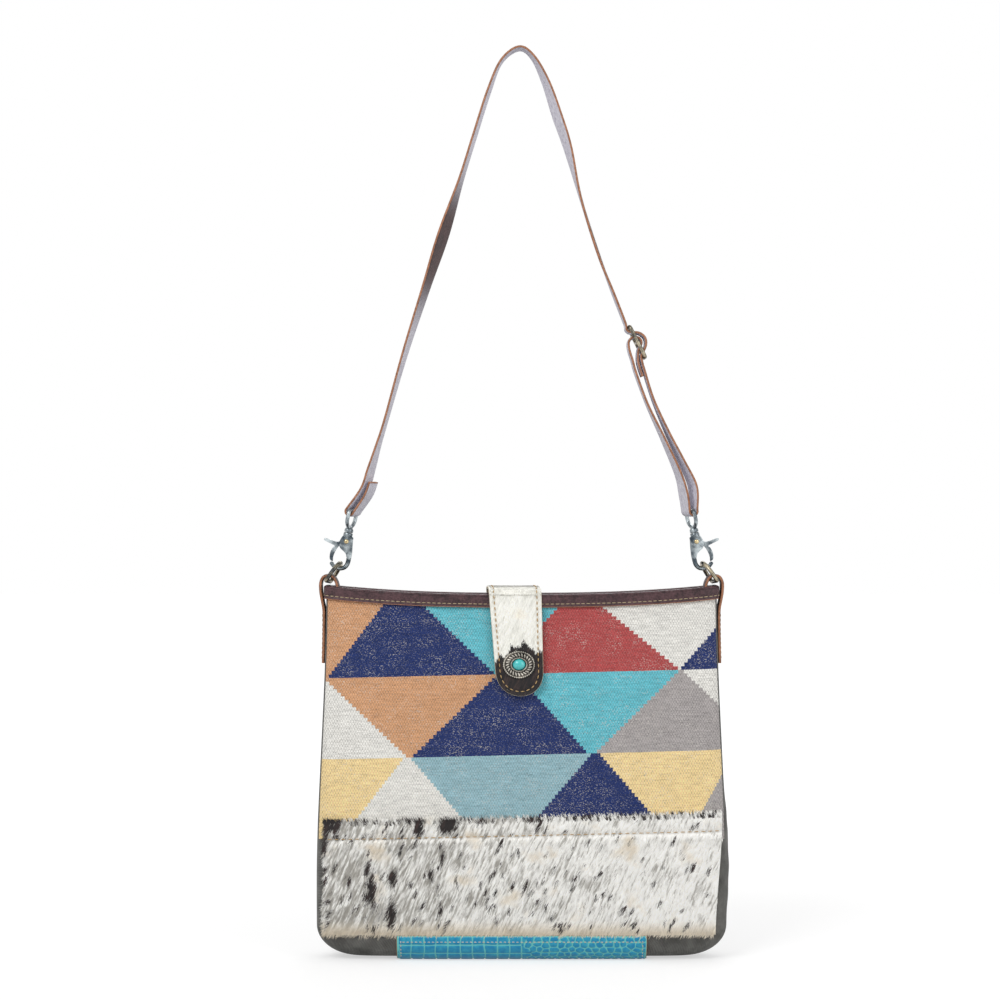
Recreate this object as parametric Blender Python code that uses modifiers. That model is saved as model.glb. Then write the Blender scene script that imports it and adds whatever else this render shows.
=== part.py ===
"""A flat shoulder bag: woven front, hair-on hide lower panel, canvas sides, leather strap on two snap hooks.

Metres, +Z up, the front faces -Y. The origin is the middle of the base patch's underside.
"""

import math

import bmesh
import bpy
import numpy as np
from mathutils import Matrix, Vector

MM = 0.001
FIT_GAP = 0.3 * MM  # between pieces that touch or fit

# The bag's body
MOUTH_HALF_WIDTH = 160.5 * MM
LOW_HALF_WIDTH = 168 * MM
MOUTH_HALF_DEPTH = 18 * MM
LOW_HALF_DEPTH = 28 * MM
MOUTH_HEIGHT = 297 * MM  # at the middle of the mouth
MOUTH_RISE = 7 * MM  # how much higher the mouth's ends are
DIP_DEPTH = 80 * MM  # how far down the dip of the mouth reaches
FULLEST_HEIGHT = 60 * MM
CORNER_SIDE = 35 * MM  # the base's rounding across the width
CORNER_FRONT = 14 * MM  # the base's rounding across the depth
CORNER_HEIGHT = 26 * MM
SQUARENESS = 7  # exponent of the section's outline, 2 is an ellipse
SEAM_SHARE = 0.985  # where front and side meet, as a share of the half width

# Its cloth and leather
CANVAS_WALL = 1.8 * MM
WEAVE_WALL = 2.0 * MM
HIDE_WALL = 2.6 * MM
PATCH_WALL = 2.2 * MM
BINDING_WALL = 1.7 * MM
BINDING_HEIGHT = 11.5 * MM
HIDE_TOP = 117 * MM
HIDE_BOTTOM = 19 * MM
HIDE_TOP_SLOPE = 0.022
HIDE_OVER_WEAVE = 18 * MM
HIDE_OVER_CANVAS = 4 * MM
HIDE_OVER_SIDE = 1.5 * MM
PATCH_HALF_WIDTH = 102 * MM
PATCH_TOP = 18 * MM

# The leather strap and what it hangs from
STRAP_WIDTH = 20 * MM
STRAP_WALL = 2.6 * MM
HOOK_X = MOUTH_HALF_WIDTH - 17.8 * MM
HOOK_Z = MOUTH_HEIGHT + 52 * MM  # the collar's top
HOOK_TILT = math.radians(12)
EYE_YAW = math.radians(17)
EYE_BAR_UP = 18.1 * MM  # from the collar to the bar in the strap's fold
EYE_WIRE = 1.6 * MM
SLIDER_WIRE = 1.5 * MM
SLIDER_BAR_STEP = 14 * MM
SLIDER_LEAN = math.radians(26.9)

# Hook, ring and loop tab
CLAW_WIRE = 1.75 * MM
BODY_HALF_DEPTH = 3.3 * MM
SLOT_HALF_DEPTH = 1.5 * MM
GATE_WALL = 2.4 * MM
RIVET_DOWN = 7.4 * MM
RIVET_RADIUS = 1.05 * MM
PIN_RADIUS = 1.45 * MM
PIN_HEAD_RADIUS = 2.3 * MM
PIN_HEAD_WALL = 1.4 * MM
COLLAR_RADIUS = 3.8 * MM
COLLAR_HEIGHT = 2.6 * MM
SPRING_RADIUS = 0.95 * MM
SPRING_WIRE = 0.25 * MM
SPRING_TURNS = 4
RING_WIRE = 1.7 * MM
RING_INNER_WIDTH = 20 * MM
RING_HEIGHT = 18.1 * MM
RING_YAW = math.radians(7)
RING_IN_CLAW = (1.2 * MM, 25.7 * MM)  # across and down from the collar
RING_BAR_Z = MOUTH_HEIGHT + 12.1 * MM
TAB_WIDTH = 18.6 * MM
TAB_WALL = 2.6 * MM
TAB_OUTER_END = MOUTH_HEIGHT - 55 * MM
TAB_INNER_END = MOUTH_HEIGHT - 35 * MM

# The closure tab with its concho and snap
CLOSURE_WIDTH = 44 * MM
CLOSURE_WALL = 2.5 * MM
CLOSURE_LEAN = 0.053
CLOSURE_TOP_X = -5.5 * MM
CLOSURE_END_Z = 214.7 * MM
CLOSURE_ROOT_Z = MOUTH_HEIGHT - 8 * MM
CLOSURE_TOP_Z = MOUTH_HEIGHT + 9 * MM
CLOSURE_ROUND = 22 * MM
CONCHO_HEIGHT = 241.7 * MM
CONCHO_WIDTH = 27 * MM
CONCHO_TALL = 23 * MM
CONCHO_WALL = 1.2 * MM
STONE_WIDTH = 10.5 * MM
STONE_TALL = 9 * MM
SNAP_RADIUS = 8 * MM
SNAP_WALL = 1.2 * MM

# Colours of the real pieces: red, green, blue from 0 to 1 as shown on a screen
COLOURS = {
    "navy": (0.20, 0.27, 0.45),
    "tan": (0.80, 0.60, 0.44),
    "turquoise": (0.38, 0.73, 0.79),
    "red": (0.70, 0.34, 0.33),
    "white": (0.92, 0.91, 0.89),
    "grey": (0.65, 0.63, 0.64),
    "steel": (0.55, 0.70, 0.76),
    "yellow": (0.92, 0.80, 0.57),
    "hide": (0.86, 0.85, 0.82),
    "leather": (0.30, 0.21, 0.20),
    "canvas": (0.36, 0.36, 0.35),
    "patch": (0.22, 0.52, 0.58),
    "metal": (0.30, 0.31, 0.32),
    "brass": (0.62, 0.56, 0.42),
    "stone": (0.25, 0.72, 0.74),
}

# The weave's rows of colour fields from the top down: the row's lower edge at the middle, the fields'
# colours from left to right, and the edges between them as X at the row's top and at its bottom
ROW_SLOPE = 0.024
WEAVE_ROWS = [
    (
        234 * MM,
        ["tan", "navy", "turquoise", "red", "white", "navy"],
        [(-110, -159), (-83, -21.5), (36, -21.5), (58, 129.5), (182, 132)],
    ),
    (
        166 * MM,
        ["white", "tan", "navy", "turquoise", "grey", "white"],
        [(-162, -93), (-19.5, -92), (-18, 56.5), (129.5, 60), (131, 199)],
    ),
    (
        95 * MM,
        ["yellow", "white", "steel", "navy", "yellow", "grey"],
        [(-96, -154), (-91, -33), (57.5, -3), (60, 121), (176, 133)],
    ),
]

# The strap's route from its folded left end, in mm: X, Z and the twist in degrees, with the rear edge
# toward +X where it is positive. It is drawn for hooks at DRAWN_HOOK and goes along with the real ones
DRAWN_HOOK = (142.7, 349)
LEFT_END = [(-122.2, 390.8, 17), (-126.4, 379.6, 17)]
LEFT_LIMB = [
    (-129.3, 385.5, 17),
    (-124.0, 401.5, 15),
    (-118.2, 421.0, 10),
    (-111.5, 443.0, 4),
    (-96.5, 495.8, 0),
    (-78.8, 551.1, 18),
    (-64.5, 595.0, 26),
    (-50.2, 639.4, 16),
    (-38.5, 677.0, 5),
    (-26.8, 713.6, 0),
    (-16.5, 738.0, 0),
    (-2.0, 748.6, 0),
    (9.5, 741.2, -6),
    (20.2, 720.4, -22),
    (29.5, 693.0, -26),
    (38.4, 666.1, -14),
    (49.1, 624.1, 6),
    (63.9, 577.5, 6),
    (76.0, 545.5, 0),
]
SLIDER_MIDDLE = (95.15, 506)
# Beside the slider, in mm from its middle bar: to the right and up along the slider
THROUGH_SLIDER = [(-1.9, 17.2), (-3.4, 13.6), (-2.4, 10.4), (0.8, 8.4), (4.4, 6.2), (6.8, 2.4), (7.0, -1.6),
                  (5.0, -5.6), (1.4, -8.8), (-2.2, -11.4), (-3.5, -14.6), (-4.6, -19.0)]
RIGHT_LIMB = [(100.9, 483.0, 0), (108.4, 459.1, 0), (119.8, 432.6, -6), (131.6, 408.6, -12),
              (141.2, 387.5, -17)]
LOOP_BACK = [(133.9, 380.0, -17), (129.6, 397.0, -12), (116.8, 426.6, -6), (103.6, 455.0, 0),
             (94.0, 481.0, 0)]
ROUND_SLIDER_BAR = [(-10.4, -12.0), (-8.9, -3.2), (-6.6, 2.8), (-3.0, 5.0), (0.4, 4.2), (2.9, 2.0),
                    (3.3, -0.6), (2.1, -3.1), (-0.6, -4.8), (-3.6, -8.4), (-6.6, -14.2), (-8.0, -20.0),
                    (-9.0, -27.0)]

# Outline of the hook's gate with its thumb lever, in mm from the collar: outward and down
GATE_OUTLINE = [(-2.2, 7.4), (-1.5, 9.0), (0.3, 9.7), (2.6, 9.9), (5.2, 12.2), (6.9, 15.6), (7.9, 19.5),
                (8.2, 22.6), (7.9, 25.4), (10.6, 24.0), (11.2, 21.0), (11.0, 17.6), (10.0, 14.6), (9.0, 12.9),
                (12.5, 11.7), (17.6, 10.4), (18.5, 9.3), (17.4, 8.1), (11.5, 9.0), (7.0, 9.0), (3.6, 6.6),
                (0.6, 5.3), (-1.4, 5.8)]
# Middle line of the hook's claw, likewise
CLAW_ROUTE = [(-3.0, 12.0), (-4.3, 15.5), (-4.65, 19.0), (-4.65, 23.5), (-4.1, 26.5), (-2.3, 29.0),
              (0.8, 30.3), (4.2, 30.1), (6.6, 29.1), (8.2, 27.7)]

for left_over in list(bpy.data.objects):
    bpy.data.objects.remove(left_over)
parts = bpy.data.collections.new("shoulder_bag")
cutters = bpy.data.collections.new("cutters")
for group in (parts, cutters):
    bpy.context.scene.collection.children.link(group)


# Small helpers


def material(name, roughness, metallic=0.0):
    """The plain material of one of the COLOURS."""
    made = bpy.data.materials.get(name)
    if made:
        return made
    made = bpy.data.materials.new(name)
    made.use_nodes = True
    shader = made.node_tree.nodes["Principled BSDF"]
    linear = [c / 12.92 if c <= 0.04045 else ((c + 0.055) / 1.055) ** 2.4 for c in COLOURS[name]]
    shader.inputs["Base Color"].default_value = (*linear, 1)
    shader.inputs["Roughness"].default_value = roughness
    shader.inputs["Metallic"].default_value = metallic
    made.diffuse_color = (*linear, 1)
    return made


def add(name, data, paint=None, group=parts):
    piece = bpy.data.objects.new(name, data)
    group.objects.link(piece)
    if paint and not data.materials:
        data.materials.append(paint)
    if group is cutters:
        piece.hide_render = True
        piece.display_type = "WIRE"
    return piece


def set_origin(piece, point):
    """Puts the origin of a piece modelled in world coordinates on a point, such as its joint's axis."""
    piece.data.transform(Matrix.Translation(-Vector(point)))
    piece.location = point


def hang_on(child, parent):
    """Parents without moving the child. Both are unturned."""
    child.parent = parent
    child.matrix_parent_inverse = Matrix.Translation(-parent.location)


def shade_round(mesh, angle=40):
    mesh.shade_smooth()
    mesh.set_sharp_from_angle(angle=math.radians(angle))


def as_mesh(piece):
    """Turns a curve or a piece with modifiers into a plain mesh with welded caps."""
    bpy.context.view_layer.update()
    seen = piece.evaluated_get(bpy.context.evaluated_depsgraph_get())
    mesh = bpy.data.meshes.new_from_object(seen)
    work = bmesh.new()
    work.from_mesh(mesh)
    bmesh.ops.remove_doubles(work, verts=work.verts, dist=1e-6)
    work.to_mesh(mesh)
    work.free()
    name, group, place = piece.name, piece.users_collection[0], piece.matrix_world.copy()
    bpy.data.objects.remove(piece)
    made = add(name, mesh, group=group)
    made.matrix_world = place
    return made


def boolean(piece, other, operation):
    """A live Boolean with a hidden piece."""
    change = piece.modifiers.new(operation.lower(), "BOOLEAN")
    change.operation = operation
    change.solver = "EXACT"
    change.object = other


def curve_piece(name, points, radius, paint=None, cyclic=False, group=parts, resolution=2):
    """A round bar along a POLY spline."""
    curve = bpy.data.curves.new(name, "CURVE")
    curve.dimensions = "3D"
    curve.bevel_depth = radius
    curve.bevel_resolution = resolution
    curve.use_fill_caps = not cyclic
    curve.render_resolution_u = 0
    spline = curve.splines.new("POLY")
    spline.points.add(len(points) - 1)
    for spot, point in zip(spline.points, points):
        spot.co = (*point, 1)
    spline.use_cyclic_u = cyclic
    return add(name, curve, paint, group)


def turned(name, profile, paint=None, group=parts, steps=20):
    """A profile of (radius, height) pairs, top to bottom, turned about Z."""
    mesh = bpy.data.meshes.new(name)
    edges = [(i, i + 1) for i in range(len(profile) - 1)]
    mesh.from_pydata([(radius, 0, height) for radius, height in profile], edges, [])
    piece = add(name, mesh, paint, group)
    spin = piece.modifiers.new("turn", "SCREW")
    spin.steps = spin.render_steps = steps
    spin.use_merge_vertices = True
    spin.merge_threshold = 1e-5
    return piece


def block(name, low, high, group=cutters):
    """A box between two corners."""
    mesh = bpy.data.meshes.new(name)
    work = bmesh.new()
    bmesh.ops.create_cube(work, size=1)
    low, high = Vector(low), Vector(high)
    for vertex in work.verts:
        vertex.co = Vector(c * s for c, s in zip(vertex.co, high - low)) + (low + high) / 2
    work.to_mesh(mesh)
    work.free()
    return add(name, mesh, group=group)


def smooth_route(points, step):
    """Points read about every step along a smooth curve through a route, and the route's own values there."""
    points = np.asarray(points, float)
    ends = [2 * points[0] - points[1], *points, 2 * points[-1] - points[-2]]
    read = []
    for before, start, end, after in zip(ends, ends[1:], ends[2:], ends[3:]):
        count = max(1, round(np.linalg.norm(end[:2] - start[:2]) / step))
        for share in np.arange(count) / count:
            read.append(
                0.5
                * (
                    2 * start
                    + (end - before) * share
                    + (2 * before - 5 * start + 4 * end - after) * share**2
                    + (3 * start - before - 3 * end + after) * share**3
                )
            )
    read.append(points[-1])
    return np.array(read)


def wall_mesh(name, outer, inner, keep=None, around=False, floor=False):
    """A closed wall between two grids of points, over the cells that keep names.

    Rows run so that columns x rows points outward. around joins the last column to the first, and floor
    closes the first row.
    """
    rows, columns = outer.shape[:2]
    spans = columns if around else columns - 1
    keep = np.ones((rows - 1, spans), bool) if keep is None else keep

    def kept(r, c):
        c = c % spans if around else c
        return 0 <= r < rows - 1 and 0 <= c < spans and keep[r, c]

    def at(side, r, c):
        return side * rows * columns + r * columns + c % columns

    faces = []
    for r in range(rows - 1):
        for c in range(spans):
            if not kept(r, c):
                continue
            corners = [(r, c), (r, c + 1), (r + 1, c + 1), (r + 1, c)]
            faces.append([at(0, *corner) for corner in corners])
            faces.append([at(1, *corner) for corner in reversed(corners)])
            beside = [kept(r - 1, c) or (floor and r == 0), kept(r, c + 1), kept(r + 1, c), kept(r, c - 1)]
            for k, closed in enumerate(beside):
                if not closed:
                    first, second = corners[k], corners[(k + 1) % 4]
                    faces.append([at(0, *second), at(0, *first), at(1, *first), at(1, *second)])
    if floor:
        faces.append([at(0, 0, c) for c in reversed(range(columns))])
        faces.append([at(1, 0, c) for c in range(columns)])
    mesh = bpy.data.meshes.new(name)
    mesh.from_pydata(np.concatenate([outer.reshape(-1, 3), inner.reshape(-1, 3)]).tolist(), [], faces)
    work = bmesh.new()
    work.from_mesh(mesh)
    bmesh.ops.delete(work, geom=[v for v in work.verts if not v.link_faces], context="VERTS")
    work.to_mesh(mesh)
    work.free()
    return mesh


def band_mesh(name, centres, across, thick, half_width, half_wall):
    """A flat strip along a route: at each place its middle, the unit vector over its width and its normal."""
    chamfer = half_wall * 0.35
    outline = [
        (half_width, half_wall - chamfer),
        (half_width - chamfer, half_wall),
        (chamfer - half_width, half_wall),
        (-half_width, half_wall - chamfer),
        (-half_width, chamfer - half_wall),
        (chamfer - half_width, -half_wall),
        (half_width - chamfer, -half_wall),
        (half_width, chamfer - half_wall),
    ]
    rings = np.array([centres + across * w + thick * t for w, t in outline])
    count, sides = len(centres), len(outline)
    verts = rings.transpose(1, 0, 2).reshape(-1, 3)
    faces = []
    for i in range(count - 1):
        for k in range(sides):
            a, b = i * sides + k, i * sides + (k + 1) % sides
            faces.append([a, b, b + sides, a + sides])
    faces.append(list(range(sides))[::-1])
    faces.append([(count - 1) * sides + k for k in range(sides)])
    mesh = bpy.data.meshes.new(name)
    mesh.from_pydata(verts.tolist(), [], faces)
    work = bmesh.new()
    work.from_mesh(mesh)
    bmesh.ops.recalc_face_normals(work, faces=work.faces)
    work.to_mesh(mesh)
    work.free()
    return mesh


# The bag's outer surface, which every panel is read from

CANVAS_BOTTOM = PATCH_WALL + FIT_GAP


def eased(share):
    share = np.clip(share, 0, 1)
    return share * share * (3 - 2 * share)


def section(height, offset=0.0):
    """Half width, half depth and Z of the bag's outline at a height over its base, moved out by offset."""
    height = np.asarray(height, float)
    low = eased((MOUTH_HEIGHT - height) / (MOUTH_HEIGHT - FULLEST_HEIGHT))
    wide = MOUTH_HALF_WIDTH + (LOW_HALF_WIDTH - MOUTH_HALF_WIDTH) * low
    deep = MOUTH_HALF_DEPTH + (LOW_HALF_DEPTH - MOUTH_HALF_DEPTH) * low
    cosine = np.clip(1 - height / CORNER_HEIGHT, 0, 1)
    sine = np.sqrt(1 - cosine**2)
    wide = wide - CORNER_SIDE + (CORNER_SIDE + offset) * sine
    deep = deep - CORNER_FRONT + (CORNER_FRONT + offset) * sine
    level = CANVAS_BOTTOM + np.maximum(height, CORNER_HEIGHT) - (CORNER_HEIGHT + offset) * cosine
    return wide, deep, level


def lifted(x, y, z):
    """The points with the mouth's dip: its ends rise."""
    near_mouth = eased((z - MOUTH_HEIGHT + DIP_DEPTH) / DIP_DEPTH)
    rise = MOUTH_RISE * np.abs(x / MOUTH_HALF_WIDTH) ** 2.5 * near_mouth
    return np.stack(np.broadcast_arrays(x, y, z + rise), -1)


def face_points(x, height, offset, side):
    """Points of the front (side -1) or back (side 1) at given X."""
    wide, deep, level = section(height, offset)
    x, wide, deep, level = np.broadcast_arrays(x, wide, deep, level)
    inside = np.clip(1 - np.abs(x / wide) ** SQUARENESS, 0, 1)
    return lifted(x, side * deep * inside ** (1 / SQUARENESS), level)


def end_points(share, height, offset, side):
    """Points of the left (side -1) or right (side 1) end, share running from seam to seam over -1 to 1."""
    wide, deep, level = section(height, offset)
    y = share * deep * (1 - SEAM_SHARE**SQUARENESS) ** (1 / SQUARENESS)
    x = side * wide * (1 - np.abs(y / deep) ** SQUARENESS) ** (1 / SQUARENESS)
    return lifted(*np.broadcast_arrays(x, y, level))


def seam_x(height, offset=0.0):
    return SEAM_SHARE * section(height, offset)[0]


def face_shares():
    """Where the front's and back's columns lie, as shares of the way to the seam, closer where it bends."""
    right = np.array([0.2, 0.4, 0.58, 0.73, 0.84, 0.91, 0.96, 1])
    return np.concatenate([-right[::-1], [0], right])


FACE_CELLS = len(face_shares()) - 1
END_CELLS = 4


def body_rings(heights, offset):
    """Closed rings of points round the bag, with a narrow cell at each seam."""
    heights = np.asarray(heights, float)[:, None]
    reach = 1 - FIT_GAP / 2 / seam_x(heights)
    end_reach = 1 - FIT_GAP / 2 / (section(heights)[1] * 0.7)
    ends = np.linspace(-1, 1, END_CELLS + 1)
    along = seam_x(heights, offset) * reach * face_shares()
    return np.concatenate(
        [
            face_points(along, heights, offset, -1),
            end_points(ends * end_reach, heights, offset, 1),
            face_points(-along, heights, offset, 1),
            end_points(-ends * end_reach, heights, offset, -1),
        ],
        1,
    )


def ends_and_base(rows, whole_rows):
    """Which cells of body_rings the canvas has: all of the lowest rows, and above them those of the ends."""
    keep = np.zeros((rows - 1, 2 * (FACE_CELLS + END_CELLS) + 4), bool)
    keep[:whole_rows] = True
    for start in (FACE_CELLS + 1, 2 * FACE_CELLS + END_CELLS + 3):
        keep[:, start : start + END_CELLS] = True
    return keep


TOP_UNDER_BINDING = MOUTH_HEIGHT - CANVAS_BOTTOM
CANVAS_FRONT_TOP = HIDE_BOTTOM + HIDE_OVER_CANVAS - CANVAS_BOTTOM


def canvas_body():
    """The U-shaped canvas strip of both ends and the base, open above, with the seams as its edges."""
    corner = CORNER_HEIGHT * (1 - np.cos(np.radians([0, 22, 42])))
    heights = [*corner, CANVAS_FRONT_TOP, CORNER_HEIGHT * 1.1, 60 * MM, 110 * MM, 165 * MM, 215 * MM,
               260 * MM, TOP_UNDER_BINDING]
    keep = ends_and_base(len(heights), 3)
    outer, inner = body_rings(heights, 0.0), body_rings(heights, -CANVAS_WALL)
    mesh = wall_mesh("canvas_gusset", outer, inner, keep, True, True)
    piece = add("canvas_gusset", mesh, material("canvas", 0.9))
    shade_round(piece.data, 50)
    return piece


def back_panel():
    low = CANVAS_FRONT_TOP + FIT_GAP
    heights = np.array([low, 60 * MM, 110 * MM, 165 * MM, 215 * MM, 260 * MM, TOP_UNDER_BINDING])
    return front_or_back("back_panel", heights, CANVAS_WALL, 1, material("canvas", 0.9))


def front_or_back(name, heights, wall, side, paint):
    """A panel from seam to seam."""
    rows = heights[:, None]
    grids = []
    for offset in (0.0, -wall):
        x = (seam_x(rows, offset) - FIT_GAP) * face_shares() * -side
        grids.append(face_points(x, rows, offset, side))
    piece = add(name, wall_mesh(name, *grids), paint)
    shade_round(piece.data, 50)
    return piece


def woven_front():
    """The weave: one cloth, its colour fields cut into the mesh along their edges."""
    low = HIDE_TOP - HIDE_OVER_WEAVE - CANVAS_BOTTOM
    heights = np.array([low, 140 * MM, 190 * MM, 230 * MM, 262 * MM, TOP_UNDER_BINDING])
    piece = front_or_back("woven_front", heights, WEAVE_WALL, -1, material("tan", 0.9))
    for colour in COLOURS:
        if colour in {name for _, names, _ in WEAVE_ROWS for name in names} - {"tan"}:
            piece.data.materials.append(material(colour, 0.9))
    slots = {paint.name: i for i, paint in enumerate(piece.data.materials)}
    work = bmesh.new()
    work.from_mesh(piece.data)
    for bottom, _, _ in WEAVE_ROWS[:-1]:
        cut_plane(work, work.faces[:], (0, 0, bottom), (-ROW_SLOPE, 0, 1))
    top = MOUTH_HEIGHT
    for bottom, names, edges in WEAVE_ROWS:
        for x_top, x_bottom in edges:
            row = [f for f in work.faces if in_row(f, bottom, top)]
            run = Vector(((x_top - x_bottom) * MM, 0, top - bottom))
            cut_plane(work, row, (x_top * MM, 0, top), run.cross(Vector((0, 1, 0))))
        for face in work.faces:
            if in_row(face, bottom, top):
                x, _, z = face.calc_center_median()
                share = (top - z) / (top - bottom)
                passed = sum(x > (a + (b - a) * share) * MM for a, b in edges)
                face.material_index = slots[names[passed]]
        top = bottom
    work.to_mesh(piece.data)
    work.free()
    return piece


def in_row(face, bottom, top):
    x, _, z = face.calc_center_median()
    level = z - ROW_SLOPE * x
    return level > bottom and (level <= top or top >= MOUTH_HEIGHT)


def cut_plane(work, faces, point, normal):
    edges = {edge for face in faces for edge in face.edges}
    corners = {vertex for face in faces for vertex in face.verts}
    bmesh.ops.bisect_plane(
        work, geom=[*faces, *edges, *corners], plane_co=point, plane_no=Vector(normal).normalized(), dist=1e-6
    )


def hide_front():
    """The hide panel laid over the weave's lower edge and the canvas's front edge."""
    x_share = face_shares()
    shares = np.array([0, 0.05, 0.12, 0.3, 0.55, 0.8, 1])[:, None]
    grids = []
    for offset in (FIT_GAP + HIDE_WALL, FIT_GAP):
        top = HIDE_TOP + HIDE_TOP_SLOPE * x_share * LOW_HALF_WIDTH - CANVAS_BOTTOM
        bottom = HIDE_BOTTOM - CANVAS_BOTTOM
        heights = bottom + (top - bottom) * shares
        x = seam_x(heights, offset) * x_share
        edges = [column + np.sign(column) * HIDE_OVER_SIDE for column in (x[:, :1], x[:, -1:])]
        x = np.concatenate([edges[0], x, edges[1]], 1)
        heights = np.concatenate([heights[:, :1], heights, heights[:, -1:]], 1)
        grids.append(face_points(x, heights, offset, -1))
    piece = add("hide_front", wall_mesh("hide_front", *grids), material("hide", 0.8))
    shade_round(piece.data, 50)
    return piece


def mouth_binding():
    """A leather strip folded over the mouth's edge all the way round: a U section carried round the ring."""
    inner_gap = max(CANVAS_WALL, WEAVE_WALL) + FIT_GAP
    wall, deep = BINDING_WALL, BINDING_HEIGHT
    outline = [(FIT_GAP, -deep), (FIT_GAP + wall, -deep), (FIT_GAP + wall, wall * 0.4),
               (FIT_GAP + wall * 0.4, wall),
               (-inner_gap - wall * 0.4, wall), (-inner_gap - wall, wall * 0.4), (-inner_gap - wall, -deep),
               (-inner_gap, -deep), (-inner_gap, FIT_GAP), (FIT_GAP, FIT_GAP)]
    rings = np.array([body_rings([TOP_UNDER_BINDING + up], out)[0] for out, up in outline])
    profile, around = rings.shape[:2]
    faces = []
    for j in range(profile):
        for m in range(around):
            k, n = (j + 1) % profile, (m + 1) % around
            faces.append([j * around + m, j * around + n, k * around + n, k * around + m])
    mesh = bpy.data.meshes.new("mouth_binding")
    mesh.from_pydata(rings.reshape(-1, 3).tolist(), [], faces)
    shade_round(mesh)
    return add("mouth_binding", mesh, material("leather", 0.55))


def base_patch():
    """The leather patch under the base, up over the front and back roundings, flat where the bag stands."""
    x = np.linspace(-PATCH_HALF_WIDTH, PATCH_HALF_WIDTH, 9)
    top = PATCH_TOP - CANVAS_BOTTOM
    climb = top * np.linspace(0, 1, 7) ** 2
    grids = []
    for offset in (FIT_GAP + PATCH_WALL, FIT_GAP):
        back = face_points(x, climb[::-1, None], offset, 1)
        front = face_points(x, climb[:, None], offset, -1)
        grids.append(np.concatenate([back, front]))
    piece = add("base_patch", wall_mesh("base_patch", *grids), material("patch", 0.45))
    shade_round(piece.data, 30)
    return piece


# The hooks, in a frame of their own: X outward, Z up along the shank, the origin at the collar's top


def hook_frame(side):
    """The frame of the hook on one side, -1 left and 1 right. The left one is the right one half turned."""
    return (
        Matrix.Translation((side * HOOK_X, 0, HOOK_Z))
        @ Matrix.Rotation(side * HOOK_TILT * -1, 4, "Y")
        @ Matrix.Rotation(math.pi if side < 0 else 0, 4, "Z")
    )


def in_hook(pairs):
    """Pairs of mm outward and down as points of the hook's frame."""
    return [(across * MM, 0, -down * MM) for across, down in pairs]


SLOT_BACK = -2.7 * MM
SLOT_TOP = -4.4 * MM
CHEEK_BOTTOM = -16 * MM


def hook_body(side, name):
    """The cast body: collar, cheeks and claw in one, with a slot for the gate and a bore for the pin."""
    place = hook_frame(side)
    edge, low = 0.6 * MM, -4 * MM
    collar = [(0, 0), (COLLAR_RADIUS - edge, 0), (COLLAR_RADIUS, -edge), (COLLAR_RADIUS, low), (0, low)]
    body = as_mesh(turned(f"hook_body_{name}", collar, material("metal", 0.35, 1.0)))
    cheeks = block(
        f"cheeks_{name}", (-4.9 * MM, -BODY_HALF_DEPTH, CHEEK_BOTTOM), (3.6 * MM, BODY_HALF_DEPTH, -2.6 * MM)
    )
    claw = as_mesh(
        curve_piece(f"claw_{name}", in_hook(CLAW_ROUTE), CLAW_WIRE, group=cutters, resolution=3)
    )
    slot = block(
        f"slot_{name}", (SLOT_BACK, -SLOT_HALF_DEPTH, CHEEK_BOTTOM - MM), (8 * MM, SLOT_HALF_DEPTH, SLOT_TOP)
    )
    bore_radius, head_radius = PIN_RADIUS + FIT_GAP, PIN_HEAD_RADIUS + FIT_GAP
    bore = [(0, MM), (bore_radius, MM), (bore_radius, -2.6 * MM), (head_radius, -2.6 * MM),
            (head_radius, SLOT_TOP - 0.2 * MM), (0, SLOT_TOP - 0.2 * MM)]
    bore = as_mesh(turned(f"bore_{name}", bore, group=cutters))
    hole = as_mesh(rivet_shape(f"rivet_hole_{name}", RIVET_RADIUS + FIT_GAP, 2 * BODY_HALF_DEPTH, cutters))
    for other, operation in ((cheeks, "UNION"), (claw, "UNION"), (slot, "DIFFERENCE"), (bore, "DIFFERENCE"),
                             (hole, "DIFFERENCE")):
        boolean(body, other, operation)
        other.matrix_world = place
    body.matrix_world = place
    return body


def rivet_shape(name, radius, half_length, group, head=0.0):
    """A round bar across the hook at the gate's pivot, with a head at each end if head is its radius."""
    profile = [(0, half_length), (radius, half_length), (radius, -half_length), (0, -half_length)]
    if head:
        seat = BODY_HALF_DEPTH + FIT_GAP
        edge = seat + 0.2 * MM
        profile = [(0, half_length), (head * 0.7, half_length), (head, edge), (head, seat), (radius, seat),
                   (radius, -seat), (head, -seat), (head, -edge), (head * 0.7, -half_length),
                   (0, -half_length)]
    piece = as_mesh(turned(name, profile, group=group, steps=14))
    turn = Matrix.Translation((0, 0, -RIVET_DOWN)) @ Matrix.Rotation(math.pi / 2, 4, "X")
    piece.data.transform(turn)
    return piece


def hook_rivet(side, name):
    piece = rivet_shape(f"gate_rivet_{name}", RIVET_RADIUS, BODY_HALF_DEPTH + 0.9 * MM, parts, 1.9 * MM)
    piece.data.materials.append(material("brass", 0.35, 1.0))
    shade_round(piece.data)
    piece.matrix_world = hook_frame(side)
    return piece


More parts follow.
